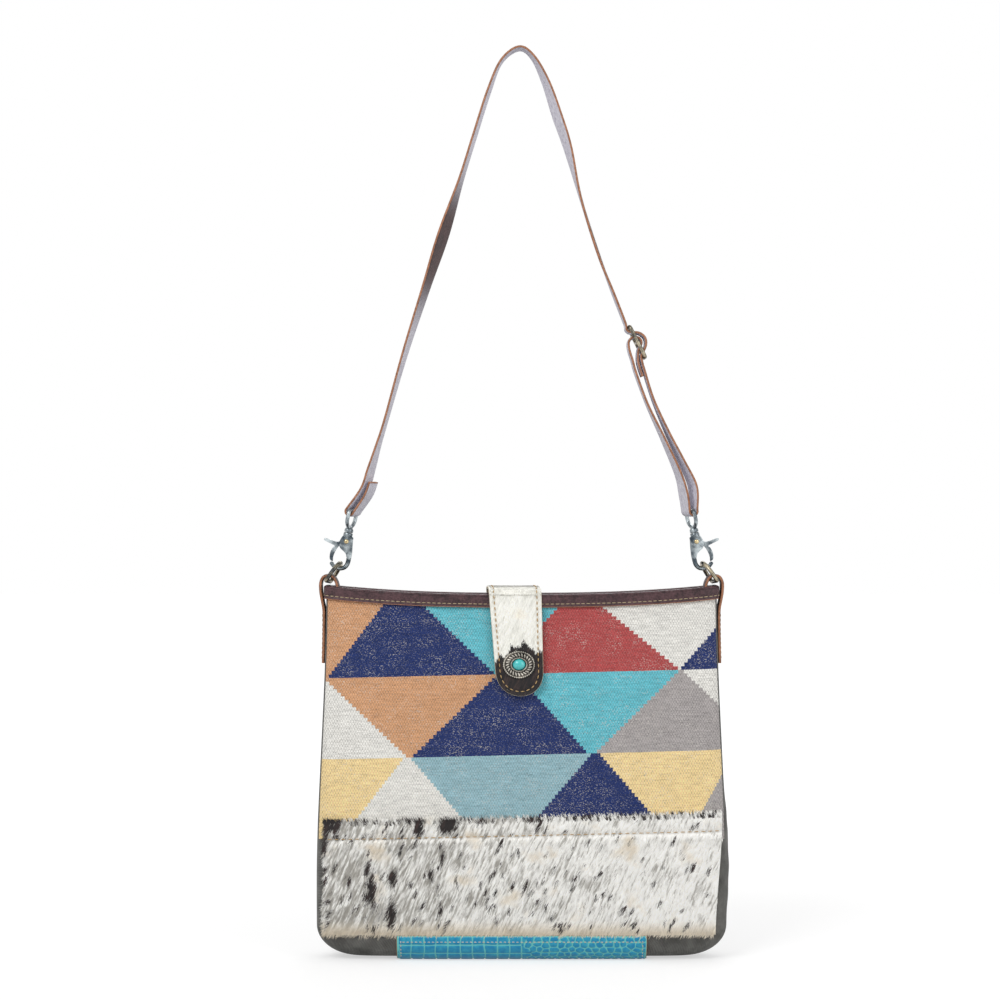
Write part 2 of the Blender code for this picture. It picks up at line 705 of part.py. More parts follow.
def hook_gate(side, name):
    """The sprung gate and thumb lever, its origin on the rivet's axis."""
    curve = bpy.data.curves.new(f"gate_{name}", "CURVE")
    curve.dimensions = "2D"
    curve.fill_mode = "BOTH"
    curve.extrude = GATE_WALL / 2
    curve.render_resolution_u = 0
    spline = curve.splines.new("POLY")
    spline.points.add(len(GATE_OUTLINE) - 1)
    for spot, (across, down) in zip(spline.points, GATE_OUTLINE):
        spot.co = (across * MM, RIVET_DOWN - down * MM, 0, 1)
    spline.use_cyclic_u = True
    gate = as_mesh(add(f"gate_{name}", curve, material("metal", 0.35, 1.0)))
    gate.data.transform(Matrix.Rotation(math.pi / 2, 4, "X"))
    hole = as_mesh(rivet_shape(f"gate_hole_{name}", RIVET_RADIUS + FIT_GAP, 2 * BODY_HALF_DEPTH, cutters))
    boolean(gate, hole, "DIFFERENCE")
    hole.matrix_world = hook_frame(side)
    gate.matrix_world = hook_frame(side) @ Matrix.Translation((0, 0, -RIVET_DOWN))
    return gate


def gate_spring(side, name):
    """The small coil between the slot's back and the gate."""
    start = SLOT_BACK + FIT_GAP + SPRING_WIRE
    length = 5.2 * MM
    steps = SPRING_TURNS * 9
    turn = 2 * math.pi / 9
    points = [
        (
            start + length * i / steps,
            SPRING_RADIUS * math.cos(i * turn),
            -12.4 * MM + SPRING_RADIUS * math.sin(i * turn),
        )
        for i in range(steps + 1)
    ]
    paint = material("metal", 0.35, 1.0)
    spring = as_mesh(curve_piece(f"gate_spring_{name}", points, SPRING_WIRE, paint, resolution=1))
    spring.matrix_world = hook_frame(side)
    return spring


def eye_place(side):
    return hook_frame(side) @ Matrix.Rotation(side * EYE_YAW, 4, "Z")


def swivel_eye(side, name):
    """The strap's loop of wire on its pin, which turns in the collar and is held by its head."""
    half = STRAP_WIDTH / 2 + 0.5 * MM + EYE_WIRE
    bar = EYE_BAR_UP
    corner = 2.2 * MM
    right = [(half - corner, bar), (half - corner * 0.3, bar - corner * 0.3), (half, bar - corner),
             (half, 11.5 * MM), (half * 0.9, 8.6 * MM), (half * 0.62, 6.2 * MM), (half * 0.25, 4.4 * MM)]
    loop = [(0, y, z) for y, z in right] + [(0, -y, z) for y, z in reversed(right)]
    paint = material("metal", 0.35, 1.0)
    eye = as_mesh(curve_piece(f"swivel_eye_{name}", loop, EYE_WIRE, paint, True, resolution=3))
    top, flange = 5.4 * MM, COLLAR_RADIUS - 0.2 * MM
    head = -2.6 * MM - FIT_GAP
    pin = [(0, top), (2 * MM, top), (flange, COLLAR_HEIGHT), (flange, FIT_GAP), (PIN_RADIUS, FIT_GAP),
           (PIN_RADIUS, head), (PIN_HEAD_RADIUS, head), (PIN_HEAD_RADIUS, head - PIN_HEAD_WALL + FIT_GAP),
           (0, head - PIN_HEAD_WALL + FIT_GAP)]
    pin = as_mesh(turned(f"swivel_pin_{name}", pin, group=cutters))
    boolean(eye, pin, "UNION")
    place = eye_place(side)
    pin.matrix_world = place
    eye.matrix_world = place
    return eye


# The D-rings and the leather tabs that hold them


def ring_top(side):
    across, down = RING_IN_CLAW
    return hook_frame(side) @ Vector((across, 0, -down))


def ring_bar(side):
    """The middle of the ring's straight bar: below the hook, at the tab's height, a ring's height away."""
    top = ring_top(side)
    drop = top.z - RING_BAR_Z
    return Vector((top.x + side * math.sqrt(RING_HEIGHT**2 - drop**2), 0, RING_BAR_Z))


def d_ring(side, name):
    """A D of round wire, its origin on its bar."""
    half = RING_INNER_WIDTH / 2 + RING_WIRE
    straight = RING_HEIGHT - half
    arc = [(half * math.cos(a), straight + half * math.sin(a)) for a in np.linspace(0, math.pi, 13)]
    corner = 1.5 * MM
    outline = [(-half, corner), (-half + corner, 0), (half - corner, 0), (half, corner), *arc]
    points = [(0, y, z) for y, z in outline]
    paint = material("metal", 0.35, 1.0)
    ring = as_mesh(curve_piece(f"d_ring_{name}", points, RING_WIRE, paint, True, resolution=3))
    up = ring_top(side) - ring_bar(side)
    lean = math.atan2(up.x, up.z)
    bar_turn = Matrix.Rotation(side * RING_YAW, 4, "Z")
    ring.matrix_world = Matrix.Translation(ring_bar(side)) @ Matrix.Rotation(lean, 4, "Y") @ bar_turn
    return ring


def loop_tab(side, name):
    """A leather strip folded over the ring's bar: one limb down outside the bag's end, one inside."""
    binding_out = FIT_GAP + BINDING_WALL
    binding_in = max(CANVAS_WALL, WEAVE_WALL) + FIT_GAP + BINDING_WALL
    half = TAB_WALL / 2
    low_wide = section(TAB_OUTER_END)[0]
    outer_low = low_wide + FIT_GAP + half
    outer_high = MOUTH_HALF_WIDTH + binding_out + 2 * FIT_GAP + half
    inner_high = MOUTH_HALF_WIDTH * 0.978 - binding_in - half
    inner_low = inner_high - 0.5 * MM
    top = RING_BAR_Z + RING_WIRE + RING_INNER_WIDTH / 2 * math.sin(RING_YAW) + FIT_GAP + half
    ring_x = abs(ring_bar(side).x)
    route = [(outer_low, TAB_OUTER_END), (outer_low + 0.3 * MM, TAB_OUTER_END + 20 * MM),
             (outer_high, MOUTH_HEIGHT - 11 * MM), (outer_high + 0.6 * MM, MOUTH_HEIGHT + 3 * MM),
             (outer_high + 0.8 * MM, RING_BAR_Z - 1.5 * MM),
             (ring_x + 3.8 * MM, top - 1.2 * MM), (ring_x + 1 * MM, top), (ring_x - 2 * MM, top),
             (ring_x - 5 * MM, top - 1.6 * MM), (inner_high, RING_BAR_Z - 3 * MM),
             (inner_high, MOUTH_HEIGHT + 1 * MM), (inner_low, TAB_INNER_END)]
    line = smooth_route(route, 4 * MM)
    centres = np.stack([side * line[:, 0], 0 * line[:, 0], line[:, 1]], 1)
    along = np.gradient(centres, axis=0)
    along /= np.linalg.norm(along, axis=1)[:, None]
    across = np.broadcast_to(np.array([0.0, 1.0, 0.0]), centres.shape)
    mesh = band_mesh(f"loop_tab_{name}", centres, across, np.cross(along, across), TAB_WIDTH / 2, half)
    shade_round(mesh)
    return add(f"loop_tab_{name}", mesh, material("leather", 0.55))


# The strap and its slider


def with_hooks(x, z, *twist):
    """A spot of the drawn route, in mm, moved along with the hooks."""
    return x * HOOK_X / MM / DRAWN_HOOK[0], z + HOOK_Z / MM - DRAWN_HOOK[1], *twist


def slider_point(right, up):
    """A point beside the slider's middle bar, from mm to the right and up along the slider."""
    cosine, sine = math.cos(SLIDER_LEAN), math.sin(SLIDER_LEAN)
    x, z = with_hooks(*SLIDER_MIDDLE)
    return x + right * cosine - up * sine, z + right * sine + up * cosine


def fold(side, entering):
    """The strap's half turn under an eye's bar, in mm, from the angle it enters at to where it leaves."""
    bar = hook_frame(side) @ Vector((0, 0, EYE_BAR_UP))
    radius = (EYE_WIRE + 2 * FIT_GAP + STRAP_WALL / 2) / MM
    start, end = entering
    twist = -side * math.degrees(EYE_YAW)
    return [
        (bar.x / MM + radius * math.cos(a), bar.z / MM + radius * math.sin(a), twist)
        for a in np.radians(np.linspace(start, end, 7))
    ]


def strap_route():
    """The whole strap in mm, from its sewn left end to its tail in the slider."""
    return [
        *[with_hooks(*spot) for spot in LEFT_END],
        *fold(-1, (-15, -200)),
        *[with_hooks(*spot) for spot in LEFT_LIMB],
        *[(*slider_point(*spot), 0) for spot in THROUGH_SLIDER],
        *[with_hooks(*spot) for spot in RIGHT_LIMB],
        *fold(1, (20, -190)),
        *[with_hooks(*spot) for spot in LOOP_BACK],
        *[(*slider_point(*spot), 0) for spot in ROUND_SLIDER_BAR],
    ]


def strap():
    line = smooth_route(strap_route(), 9)
    centres = np.stack([line[:, 0], 0 * line[:, 0], line[:, 1]], 1) * MM
    along = np.gradient(centres, axis=0)
    along /= np.linalg.norm(along, axis=1)[:, None]
    # The width runs along Y turned about the vertical by the twist, and the wall's normal is square to both
    twist = np.radians(line[:, 2])
    across = np.stack([np.sin(twist), np.cos(twist), 0 * twist], 1)
    thick = np.cross(along, across)
    thick /= np.linalg.norm(thick, axis=1)[:, None]
    mesh = band_mesh("strap", centres, across, thick, STRAP_WIDTH / 2, STRAP_WALL / 2)
    shade_round(mesh)
    return add("strap", mesh, material("leather", 0.55))


def slider():
    """The three-bar slider: a wire frame with a bar across its middle."""
    half = STRAP_WIDTH / 2 + 0.6 * MM + SLIDER_WIRE
    step, corner = SLIDER_BAR_STEP, 2 * MM
    outline = [(half - corner, step), (half, step - corner), (half, corner - step), (half - corner, -step),
               (corner - half, -step), (-half, corner - step), (-half, step - corner), (corner - half, step)]
    frame = as_mesh(
        curve_piece(
            "slider", [(0, y, z) for y, z in outline], SLIDER_WIRE, material("metal", 0.35, 1.0), True
        )
    )
    bar = as_mesh(curve_piece("slider_bar", [(0, -half, 0), (0, half, 0)], SLIDER_WIRE * 0.95, group=cutters))
    boolean(frame, bar, "UNION")
    x, z = with_hooks(*SLIDER_MIDDLE)
    place = Matrix.Translation((x * MM, 0, z * MM)) @ Matrix.Rotation(-SLIDER_LEAN, 4, "Y")
    frame.matrix_world = place
    bar.matrix_world = place
    return frame


# The closure tab, its concho and its snap

WEAVE_AT_SNAP = section(CONCHO_HEIGHT - CANVAS_BOTTOM)[1]
CLOSURE_IN = WEAVE_AT_SNAP + 3 * FIT_GAP + 2 * SNAP_WALL  # the tab's inner face at the snap, from the middle
CLOSURE_BINDING = MOUTH_HALF_DEPTH + FIT_GAP + BINDING_WALL + 2 * FIT_GAP  # and at the binding
CLOSURE_SLOPE = (CLOSURE_IN - CLOSURE_BINDING) / (CLOSURE_ROOT_Z - CONCHO_HEIGHT)
CLOSURE_AXIS = (0, CLOSURE_BINDING + CLOSURE_WALL / 2, CLOSURE_ROOT_Z)


def closure_x(z):
    return CLOSURE_TOP_X + (CLOSURE_TOP_Z - z) * CLOSURE_LEAN


def closure_tab():
    """The tab from its root on the back binding, over the mouth and down the front to its round end."""
    half = CLOSURE_WALL / 2
    face = CLOSURE_BINDING + half
    end_y = face + CLOSURE_SLOPE * (CLOSURE_ROOT_Z - CLOSURE_END_Z)
    top = CLOSURE_TOP_Z
    bend = MOUTH_HEIGHT + 2 * MM
    route = [(-end_y, CLOSURE_END_Z), (-face - 0.3 * MM, CLOSURE_ROOT_Z), (-face, bend),
             (-face + 2.2 * MM, top - 1.6 * MM), (-face + 7 * MM, top), (0, top + 0.4 * MM),
             (face - 7 * MM, top), (face - 2.2 * MM, top - 1.6 * MM), (face, bend), (face, CLOSURE_ROOT_Z)]
    line = smooth_route(route, 4.5 * MM)
    run = np.concatenate([[0], np.cumsum(np.linalg.norm(np.diff(line, axis=0), axis=1))])
    tip = np.clip(1 - run / CLOSURE_ROUND, 0, 1)
    half_width = CLOSURE_WIDTH / 2 * np.maximum(np.sqrt(1 - tip**2.6), 0.25)
    along = np.gradient(line, axis=0)
    along /= np.linalg.norm(along, axis=1)[:, None]
    x_share = np.linspace(-1, 1, 7)
    grids = []
    for push in (half, -half):
        y = line[:, 0] - along[:, 1] * push
        z = line[:, 1] + along[:, 0] * push
        lean = closure_x(z) - np.where(line[:, 0] > -face, (line[:, 0] + face) * CLOSURE_LEAN, 0)
        x = lean[:, None] + half_width[:, None] * x_share
        grids.append(np.stack(np.broadcast_arrays(x, y[:, None], z[:, None]), -1))
    piece = add("closure_tab", wall_mesh("closure_tab", *grids), material("hide", 0.8))
    shade_round(piece.data)
    set_origin(piece, CLOSURE_AXIS)
    return piece


def on_tab(depth):
    """A place at the concho's height, depth out from the tab's inner face, with Z out of the front."""
    x = closure_x(CONCHO_HEIGHT)
    tilt = math.atan(CLOSURE_SLOPE)
    return (
        Matrix.Translation((x, -CLOSURE_IN - FIT_GAP * 0.2, CONCHO_HEIGHT))
        @ Matrix.Rotation(math.pi / 2 - tilt, 4, "X")
        @ Matrix.Translation((0, 0, depth))
    )


def oval(piece, wide, tall):
    """Scales a turned mesh of unit diameter to an oval."""
    piece.data.transform(Matrix.Diagonal((wide, tall, 1, 1)))
    return piece


def concho():
    wall, rim = CONCHO_WALL, 1.4 * MM
    seat = STONE_WIDTH / 2 / CONCHO_WIDTH
    collar = wall + 0.5 * MM
    profile = [(0, wall * 0.5), (seat + 0.02, wall * 0.5), (seat + 0.02, collar), (seat + 0.05, collar),
               (seat + 0.08, wall * 0.8), (0.40, wall * 0.6), (0.44, rim), (0.475, rim), (0.5, wall * 0.6),
               (0.5, 0), (0, 0)]
    disc = as_mesh(turned("concho", profile, material("brass", 0.35, 1.0), steps=32))
    piece = oval(disc, CONCHO_WIDTH, CONCHO_TALL)
    piece.matrix_world = on_tab(CLOSURE_WALL + FIT_GAP)
    shade_round(piece.data, 30)
    return piece


def stone():
    low = CONCHO_WALL * 0.5 + FIT_GAP
    profile = [(0, low + 2.3 * MM), (0.2, low + 2.1 * MM), (0.38, low + 1.5 * MM), (0.48, low + 0.7 * MM),
               (0.5, low), (0, low)]
    dome = as_mesh(turned("stone", profile, material("stone", 0.2), steps=24))
    piece = oval(dome, STONE_WIDTH, STONE_TALL)
    piece.matrix_world = on_tab(CLOSURE_WALL + FIT_GAP)
    shade_round(piece.data, 50)
    return piece


def snap_half(name, depth):
    """One half of the hidden magnetic snap, a flat disc."""
    radius, wall = SNAP_RADIUS, SNAP_WALL
    profile = [(0, wall), (radius * 0.93, wall), (radius, wall * 0.6), (radius, 0), (0, 0)]
    piece = as_mesh(turned(name, profile, material("metal", 0.35, 1.0)))
    piece.matrix_world = on_tab(depth)
    shade_round(piece.data, 30)
    return piece


def empty_at(name, point):
    empty = bpy.data.objects.new(name, None)
    empty.empty_display_size = 10 * MM
    empty.location = point
    parts.objects.link(empty)
    return empty


def bag():
    """All of the bag's own pieces, hung on the axis that they swing about."""
    pieces = [canvas_body(), back_panel(), woven_front(), hide_front(), mouth_binding(), base_patch()]
    pieces += [loop_tab(side, name) for side, name in SIDES]
    swing = empty_at("bag_swing_axis", (0, 0, ring_top(1).z))
    for piece in pieces:
        hang_on(piece, swing)


def hook(side, name):
    hook_body(side, name)
    hook_rivet(side, name)
    gate_spring(side, name)
    hook_gate(side, name)


def closure():
    """The tab with what rides on it, and the snap's other half on the weave."""
    tab = closure_tab()
    for piece in (concho(), stone(), snap_half("snap_stud", -FIT_GAP - SNAP_WALL)):
        place = piece.matrix_world.copy()
        piece.parent = tab
        piece.matrix_parent_inverse = Matrix.Translation(-tab.location)
        piece.matrix_basis = place
    snap_half("snap_socket", -2 * FIT_GAP - 2 * SNAP_WALL)


SIDES = [(-1, "left"), (1, "right")]
bag()
strap()
slider()
for side, name in SIDES:
    hook(side, name)
    swivel_eye(side, name)
    d_ring(side, name)
closure()
bpy.context.view_layer.update()
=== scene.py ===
import math

import bmesh
import bpy
import numpy as np
from mathutils import Matrix, Vector


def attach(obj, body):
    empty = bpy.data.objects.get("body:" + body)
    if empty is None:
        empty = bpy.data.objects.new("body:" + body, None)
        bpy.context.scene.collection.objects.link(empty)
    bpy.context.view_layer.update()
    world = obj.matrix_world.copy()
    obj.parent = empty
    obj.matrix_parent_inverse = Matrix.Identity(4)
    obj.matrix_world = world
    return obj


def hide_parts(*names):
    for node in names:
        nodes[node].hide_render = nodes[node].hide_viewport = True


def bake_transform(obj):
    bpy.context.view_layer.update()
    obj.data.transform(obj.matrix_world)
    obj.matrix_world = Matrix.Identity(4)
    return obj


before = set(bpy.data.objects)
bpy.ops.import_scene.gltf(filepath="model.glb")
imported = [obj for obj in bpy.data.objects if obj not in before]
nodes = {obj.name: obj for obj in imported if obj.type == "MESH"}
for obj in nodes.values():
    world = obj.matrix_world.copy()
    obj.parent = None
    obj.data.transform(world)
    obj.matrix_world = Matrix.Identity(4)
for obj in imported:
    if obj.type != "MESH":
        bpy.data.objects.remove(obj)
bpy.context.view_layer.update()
mm = 0.001
print("frame loaded:", len(nodes), "nodes")


# Shader maths: a Wire is one socket, sums on it add Math nodes, and node() adds any other node
class Wire:
    def __init__(self, tree, socket=None):
        self.tree = tree
        self.socket = socket

    def node(self, kind, settings=None, inputs=None, output=0):
        made = self.tree.nodes.new(kind)
        for name, value in (settings or {}).items():
            setattr(made, name, value)
        for name, value in (inputs or {}).items():
            if isinstance(value, Wire):
                self.tree.links.new(value.socket, made.inputs[name])
            else:
                made.inputs[name].default_value = value
        return Wire(self.tree, made.outputs[output])

    def maths(self, operation, *others):
        return self.node("ShaderNodeMath", {"operation": operation}, dict(enumerate((self, *others))))

    def __add__(self, other):
        return self.maths("ADD", other)

    def __radd__(self, other):
        return self.maths("ADD", other)

    def __mul__(self, other):
        return self.maths("MULTIPLY", other)

    def __rmul__(self, other):
        return self.maths("MULTIPLY", other)

    def __sub__(self, other):
        return self.maths("SUBTRACT", other)

    def __rsub__(self, other):
        return self.node("ShaderNodeMath", {"operation": "SUBTRACT"}, {0: other, 1: self})

    def __truediv__(self, other):
        return self.maths("DIVIDE", other)

    def __gt__(self, other):
        return self.maths("GREATER_THAN", other)

    def between(self, low, high):  # 0 at low, 1 at high, eased
        return self.node("ShaderNodeMapRange", {"interpolation_type": "SMOOTHSTEP"}, {0: self, 1: low, 2: high})

    def pick(self, first, second):  # the first colour where this is 0, the second where it is 1
        return self.node("ShaderNodeMix", {"data_type": "RGBA"}, {0: self, 6: first, 7: second}, 2)

    def shaded(self, factor):  # a colour times a number
        return self.node("ShaderNodeVectorMath", {"operation": "SCALE"}, {0: self, 3: factor})

    def stretched(self, x, y, z, tilt=0.0):  # coordinates scaled on each axis, turned first about Y
        turned = self.node("ShaderNodeMapping", {"vector_type": "POINT"}, {"Rotation": (0, tilt, 0)})
        self.tree.links.new(self.socket, turned.socket.node.inputs["Vector"])
        return turned.node("ShaderNodeVectorMath", {"operation": "MULTIPLY"}, {0: turned, 1: (x, y, z)})

    def noise(self, scale, detail=3.0, roughness=0.55):
        settings = {"Vector": self, "Scale": scale, "Detail": detail, "Roughness": roughness}
        return self.node("ShaderNodeTexNoise", {"noise_dimensions": "3D"}, settings)

    def cells(self, scale):  # how far each place is from the nearest cell's middle
        return self.node("ShaderNodeTexVoronoi", {"feature": "F1"}, {"Vector": self, "Scale": scale}, "Distance")

    def parts(self):  # its X, Y and Z
        split = self.node("ShaderNodeSeparateXYZ", None, {0: self})
        return split, Wire(self.tree, split.socket.node.outputs[1]), Wire(self.tree, split.socket.node.outputs[2])

    def attribute(self, name):
        return self.node("ShaderNodeAttribute", {"attribute_name": name}, None, "Fac")


def shade(red, green, blue):  # a screen colour from 0 to 255 as linear light
    values = [c / 255 for c in (red, green, blue)]
    return (*[c / 12.92 if c <= 0.04045 else ((c + 0.055) / 1.055) ** 2.4 for c in values], 1)


def startMaterial(name, **fixed):
    # A new material with its shader's fixed values. Returns it, the place on the piece and what joins wires to it
    made = bpy.data.materials.new(name)
    made.use_nodes = True
    tree = made.node_tree
    shader = tree.nodes["Principled BSDF"]
    for socket, value in fixed.items():
        shader.inputs[socket.replace("_", " ")].default_value = value
    place = Wire(tree).node("ShaderNodeTexCoord", None, None, "Object")

    def join(**wires):
        for socket, wire in wires.items():
            tree.links.new(wire.socket, shader.inputs[socket.replace("_", " ")])

    return made, place, join


def bumpOf(height, distance, strength=1.0, under=None):  # the relief of a height, over another relief if given
    inputs = {"Strength": strength, "Distance": distance, "Height": height}
    if under:
        inputs["Normal"] = under
    return height.node("ShaderNodeBump", None, inputs)


# Meshes from whole arrays
def newPiece(name, verts, faces, material, attributes=None, turnOut=True):
    mesh = bpy.data.meshes.new(name)
    mesh.from_pydata(np.asarray(verts, float).tolist(), [], faces if isinstance(faces, list) else faces.tolist())
    for label, values in (attributes or {}).items():
        mesh.attributes.new(label, "FLOAT", "POINT").data.foreach_set("value", np.asarray(values, np.float32))
    if turnOut:
        work = bmesh.new()
        work.from_mesh(mesh)
        bmesh.ops.recalc_face_normals(work, faces=work.faces)
        work.to_mesh(mesh)
        work.free()
    mesh.materials.append(material)
    mesh.polygons.foreach_set("use_smooth", np.ones(len(mesh.polygons), bool))
    piece = bpy.data.objects.new(name, mesh)
    bpy.context.scene.collection.objects.link(piece)
    return piece


def dress(piece, body, node=None):
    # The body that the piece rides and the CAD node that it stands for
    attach(piece, body)
    if node:
        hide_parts(node)


def sharpen(piece, degrees=60):
    piece.data.set_sharp_from_angle(angle=math.radians(degrees))


def gridFaces(rows, columns, around=False, up=False, keep=None, start=0):
    # Quads between neighbours of a grid; around joins its last column to the first, up its last row to the first
    r, c = np.meshgrid(np.arange(rows - (not up)), np.arange(columns - (not around)), indexing="ij")
    if keep is not None:
        r, c = r[keep], c[keep]
    r, c = r.ravel(), c.ravel()
    s, d = (r + 1) % rows, (c + 1) % columns
    return np.stack([r * columns + c, r * columns + d, s * columns + d, s * columns + c], 1) + start


def wall(name, outer, inner, material, around=False, keep=None, floor=False, attributes=None, lining=None):
    # A closed wall between two grids: both grids' quads, and a rim where a kept cell has no kept neighbour
    rows, columns = outer.shape[:2]
    spans = columns if around else columns - 1
    keep = np.ones((rows - 1, spans), bool) if keep is None else keep
    count = rows * columns
    front = gridFaces(rows, columns, around, keep=keep)
    back = front[:, ::-1] + count
    padded = np.pad(keep, 1)
    if around:
        padded[1:-1, 0], padded[1:-1, -1] = keep[:, -1], keep[:, 0]
    if floor:
        padded[0, 1:-1] = True
    rims = []
    for (a, b), (down, left) in zip(((0, 1), (1, 2), (2, 3), (3, 0)), ((-1, 0), (0, 1), (1, 0), (0, -1))):
        beside = padded[1 + down : rows + down, 1 + left : spans + 1 + left]
        first, second = front[~beside[keep]][:, [b, a]].T
        rims.append(np.stack([first, second, second + count, first + count], 1))
    faces = np.concatenate([front, back, *rims]).tolist()
    if floor:
        faces.append(list(range(columns))[::-1])
        faces.append([count + c for c in range(columns)])
    verts = np.concatenate([outer.reshape(-1, 3), inner.reshape(-1, 3)])
    attributes = {k: np.concatenate([np.ravel(v), np.ravel(v)]) for k, v in (attributes or {}).items()}
    piece = newPiece(name, verts, faces, material, attributes=attributes)
    work = bmesh.new()
    work.from_mesh(piece.data)
    bmesh.ops.delete(work, geom=[v for v in work.verts if not v.link_faces], context="VERTS")
    work.to_mesh(piece.data)
    work.free()
    sharpen(piece)
    if lining:  # the inner grid's quads come second
        piece.data.materials.append(lining)
        slots = np.zeros(len(piece.data.polygons), np.int32)
        slots[len(front) : 2 * len(front)] = 1
        piece.data.polygons.foreach_set("material_index", slots)
    return piece


def unit(vectors):
    return vectors / np.maximum(np.linalg.norm(vectors, axis=-1, keepdims=True), 1e-12)


def smoothRoute(points, step, closed=False):
    # A smooth curve through the points: between two of them a cubic of them and their neighbours, read every step
    points = np.asarray(points, float)
    ends = (points[-1:], points[:2]) if closed else (2 * points[:1] - points[1:2], 2 * points[-1:] - points[-2:-1])
    ring = np.concatenate([ends[0], points, ends[1]])
    read = []
    for a, b, c, d in zip(ring, ring[1:], ring[2:], ring[3:]):
        t = np.arange(max(1, round(np.linalg.norm(c[:3] - b[:3]) / step)))[:, None]
        t = t / len(t)
        square, cube = 2 * a - 5 * b + 4 * c - d, 3 * b - a - 3 * c + d
        read.append(0.5 * (2 * b + (c - a) * t + square * t**2 + cube * t**3))
    if not closed:
        read.append(points[-1:])
    return np.concatenate(read)


def lengthAlong(line):
    return np.concatenate([[0], np.cumsum(np.linalg.norm(np.diff(line[:, :3], axis=0), axis=1))])


def evenly(points, spacing, closed=False):
    # The route read in the middles of equal lengths of about the spacing
    line = np.concatenate([points, points[:1]]) if closed else points
    run = lengthAlong(line)
    count = max(2, int(run[-1] / spacing))
    at = (np.arange(count) + 0.5) * run[-1] / count
    return np.stack([np.interp(at, run, line[:, k]) for k in range(line.shape[1])], 1)


def tube(points, radius, sides, closed=False, across=(0, 1, 0)):
    # A round bar: at each point a ring, radius * (cos a along the across vector, sin a along the normal)
    points = np.asarray(points, float)
    radius = np.broadcast_to(np.asarray(radius, float), len(points))[:, None, None]
    ahead = np.roll(points, -1, 0) - np.roll(points, 1, 0)
    if not closed:
        ahead[0], ahead[-1] = points[1] - points[0], points[-1] - points[-2]
    ahead = unit(ahead)
    side = unit(np.cross(np.cross(ahead, np.broadcast_to(across, ahead.shape)), ahead))
    top = np.cross(ahead, side)
    a = np.linspace(0, 2 * np.pi, sides, endpoint=False)[None, :, None]
    rings = points[:, None] + radius * (np.cos(a) * side[:, None] + np.sin(a) * top[:, None])
    faces = gridFaces(len(points), sides, True, closed).tolist()
    if not closed:
        faces += [list(range(sides))[::-1], [(len(points) - 1) * sides + k for k in range(sides)]]
    return rings.reshape(-1, 3), faces


def lathe(profile, sides=40, wide=1.0, tall=1.0):
    # The profile's (radius, height) points turned about Z, an oval where wide and tall differ, with single poles
    profile = np.asarray(profile, float)
    a = np.linspace(0, 2 * np.pi, sides, endpoint=False)
    body = profile[1:-1]
    radius, height = body[:, :1], body[:, 1:] + 0 * a
    rings = np.stack([wide * radius * np.cos(a), tall * radius * np.sin(a), height], -1).reshape(-1, 3)
    poles = np.array([[0, 0, profile[0, 1]], [0, 0, profile[-1, 1]]])
    first, last = len(rings), len(rings) + 1
    k = np.arange(sides)
    n = (k + 1) % sides
    base = (len(body) - 1) * sides
    faces = gridFaces(len(body), sides, True).tolist()
    faces += np.stack([k * 0 + first, n, k], 1).tolist() + np.stack([k * 0 + last, base + k, base + n], 1).tolist()
    return np.concatenate([rings, poles]), faces


def joined(*shapes):
    # Several (verts, faces) as one
    verts, faces, start = [], [], 0
    for points, quads in shapes:
        verts.append(points)
        faces += [[i + start for i in face] for face in quads]
        start += len(points)
    return np.concatenate(verts), faces


def placed(shape, matrix):  # the shape's points moved by a matrix
    points = np.asarray(shape[0]) @ np.array(matrix.to_3x3()).T + np.array(matrix.translation)
    return points, shape[1]


def scattered(name, centres, along, out, size, material, kind=(6, 4)):
    # Copies of a small egg of half sizes size: at each centre, its long axis along, its low axis out
    sides, rings = kind
    lat = np.linspace(0, np.pi, rings + 1)[1:-1]
    profile = np.stack([np.sin(lat), np.cos(lat)], 1)
    points, faces = lathe(np.concatenate([[[0, 1]], profile, [[0, -1]]]), sides)
    along, out = unit(np.asarray(along)), unit(np.asarray(out))
    side = np.cross(along, out)
    verts = np.asarray(centres)[:, None]
    for column, half, axis in zip((2, 0, 1), size, (along, side, out)):
        verts = verts + points[None, :, column, None] * half * axis[:, None]
    count = len(points)
    faces = [[i + start for i in face] for start in range(0, count * len(verts), count) for face in faces]
    return newPiece(name, verts.reshape(-1, 3), faces, material)


def hairs(name, roots, out, lean, length, width, rise, material, attributes):
    # Narrow blades: at share t along, root + lean*length*t + out*length*rise*t*(1.6-t), tapering to a point
    n = len(roots)
    t = np.array([0, 0.4, 0.75])[None, :, None]
    side = unit(np.cross(lean, out))[:, None]
    reach = np.broadcast_to(length, n)[:, None, None]
    rise = np.broadcast_to(rise, n)[:, None, None]
    half = np.broadcast_to(width, n)[:, None, None] / 2 * (1 - 0.55 * t)
    middle = roots[:, None] + reach * (t * lean[:, None] + rise * t * (1.6 - t) * out[:, None])
    tip = roots[:, None] + reach * (lean[:, None] + rise * 0.6 * out[:, None])
    verts = np.concatenate([middle - half * side, middle + half * side, tip], 1)
    base = np.arange(n)[:, None] * 7
    quads = np.concatenate([base + np.array([0, 1, 4, 3]), base + np.array([1, 2, 5, 4])])
    tips = base + np.array([2, 6, 5])
    spread = {label: np.repeat(values, 7) for label, values in attributes.items()}
    faces = quads.tolist() + tips.tolist()
    return newPiece(name, verts.reshape(-1, 3), faces, material, spread, turnOut=False)


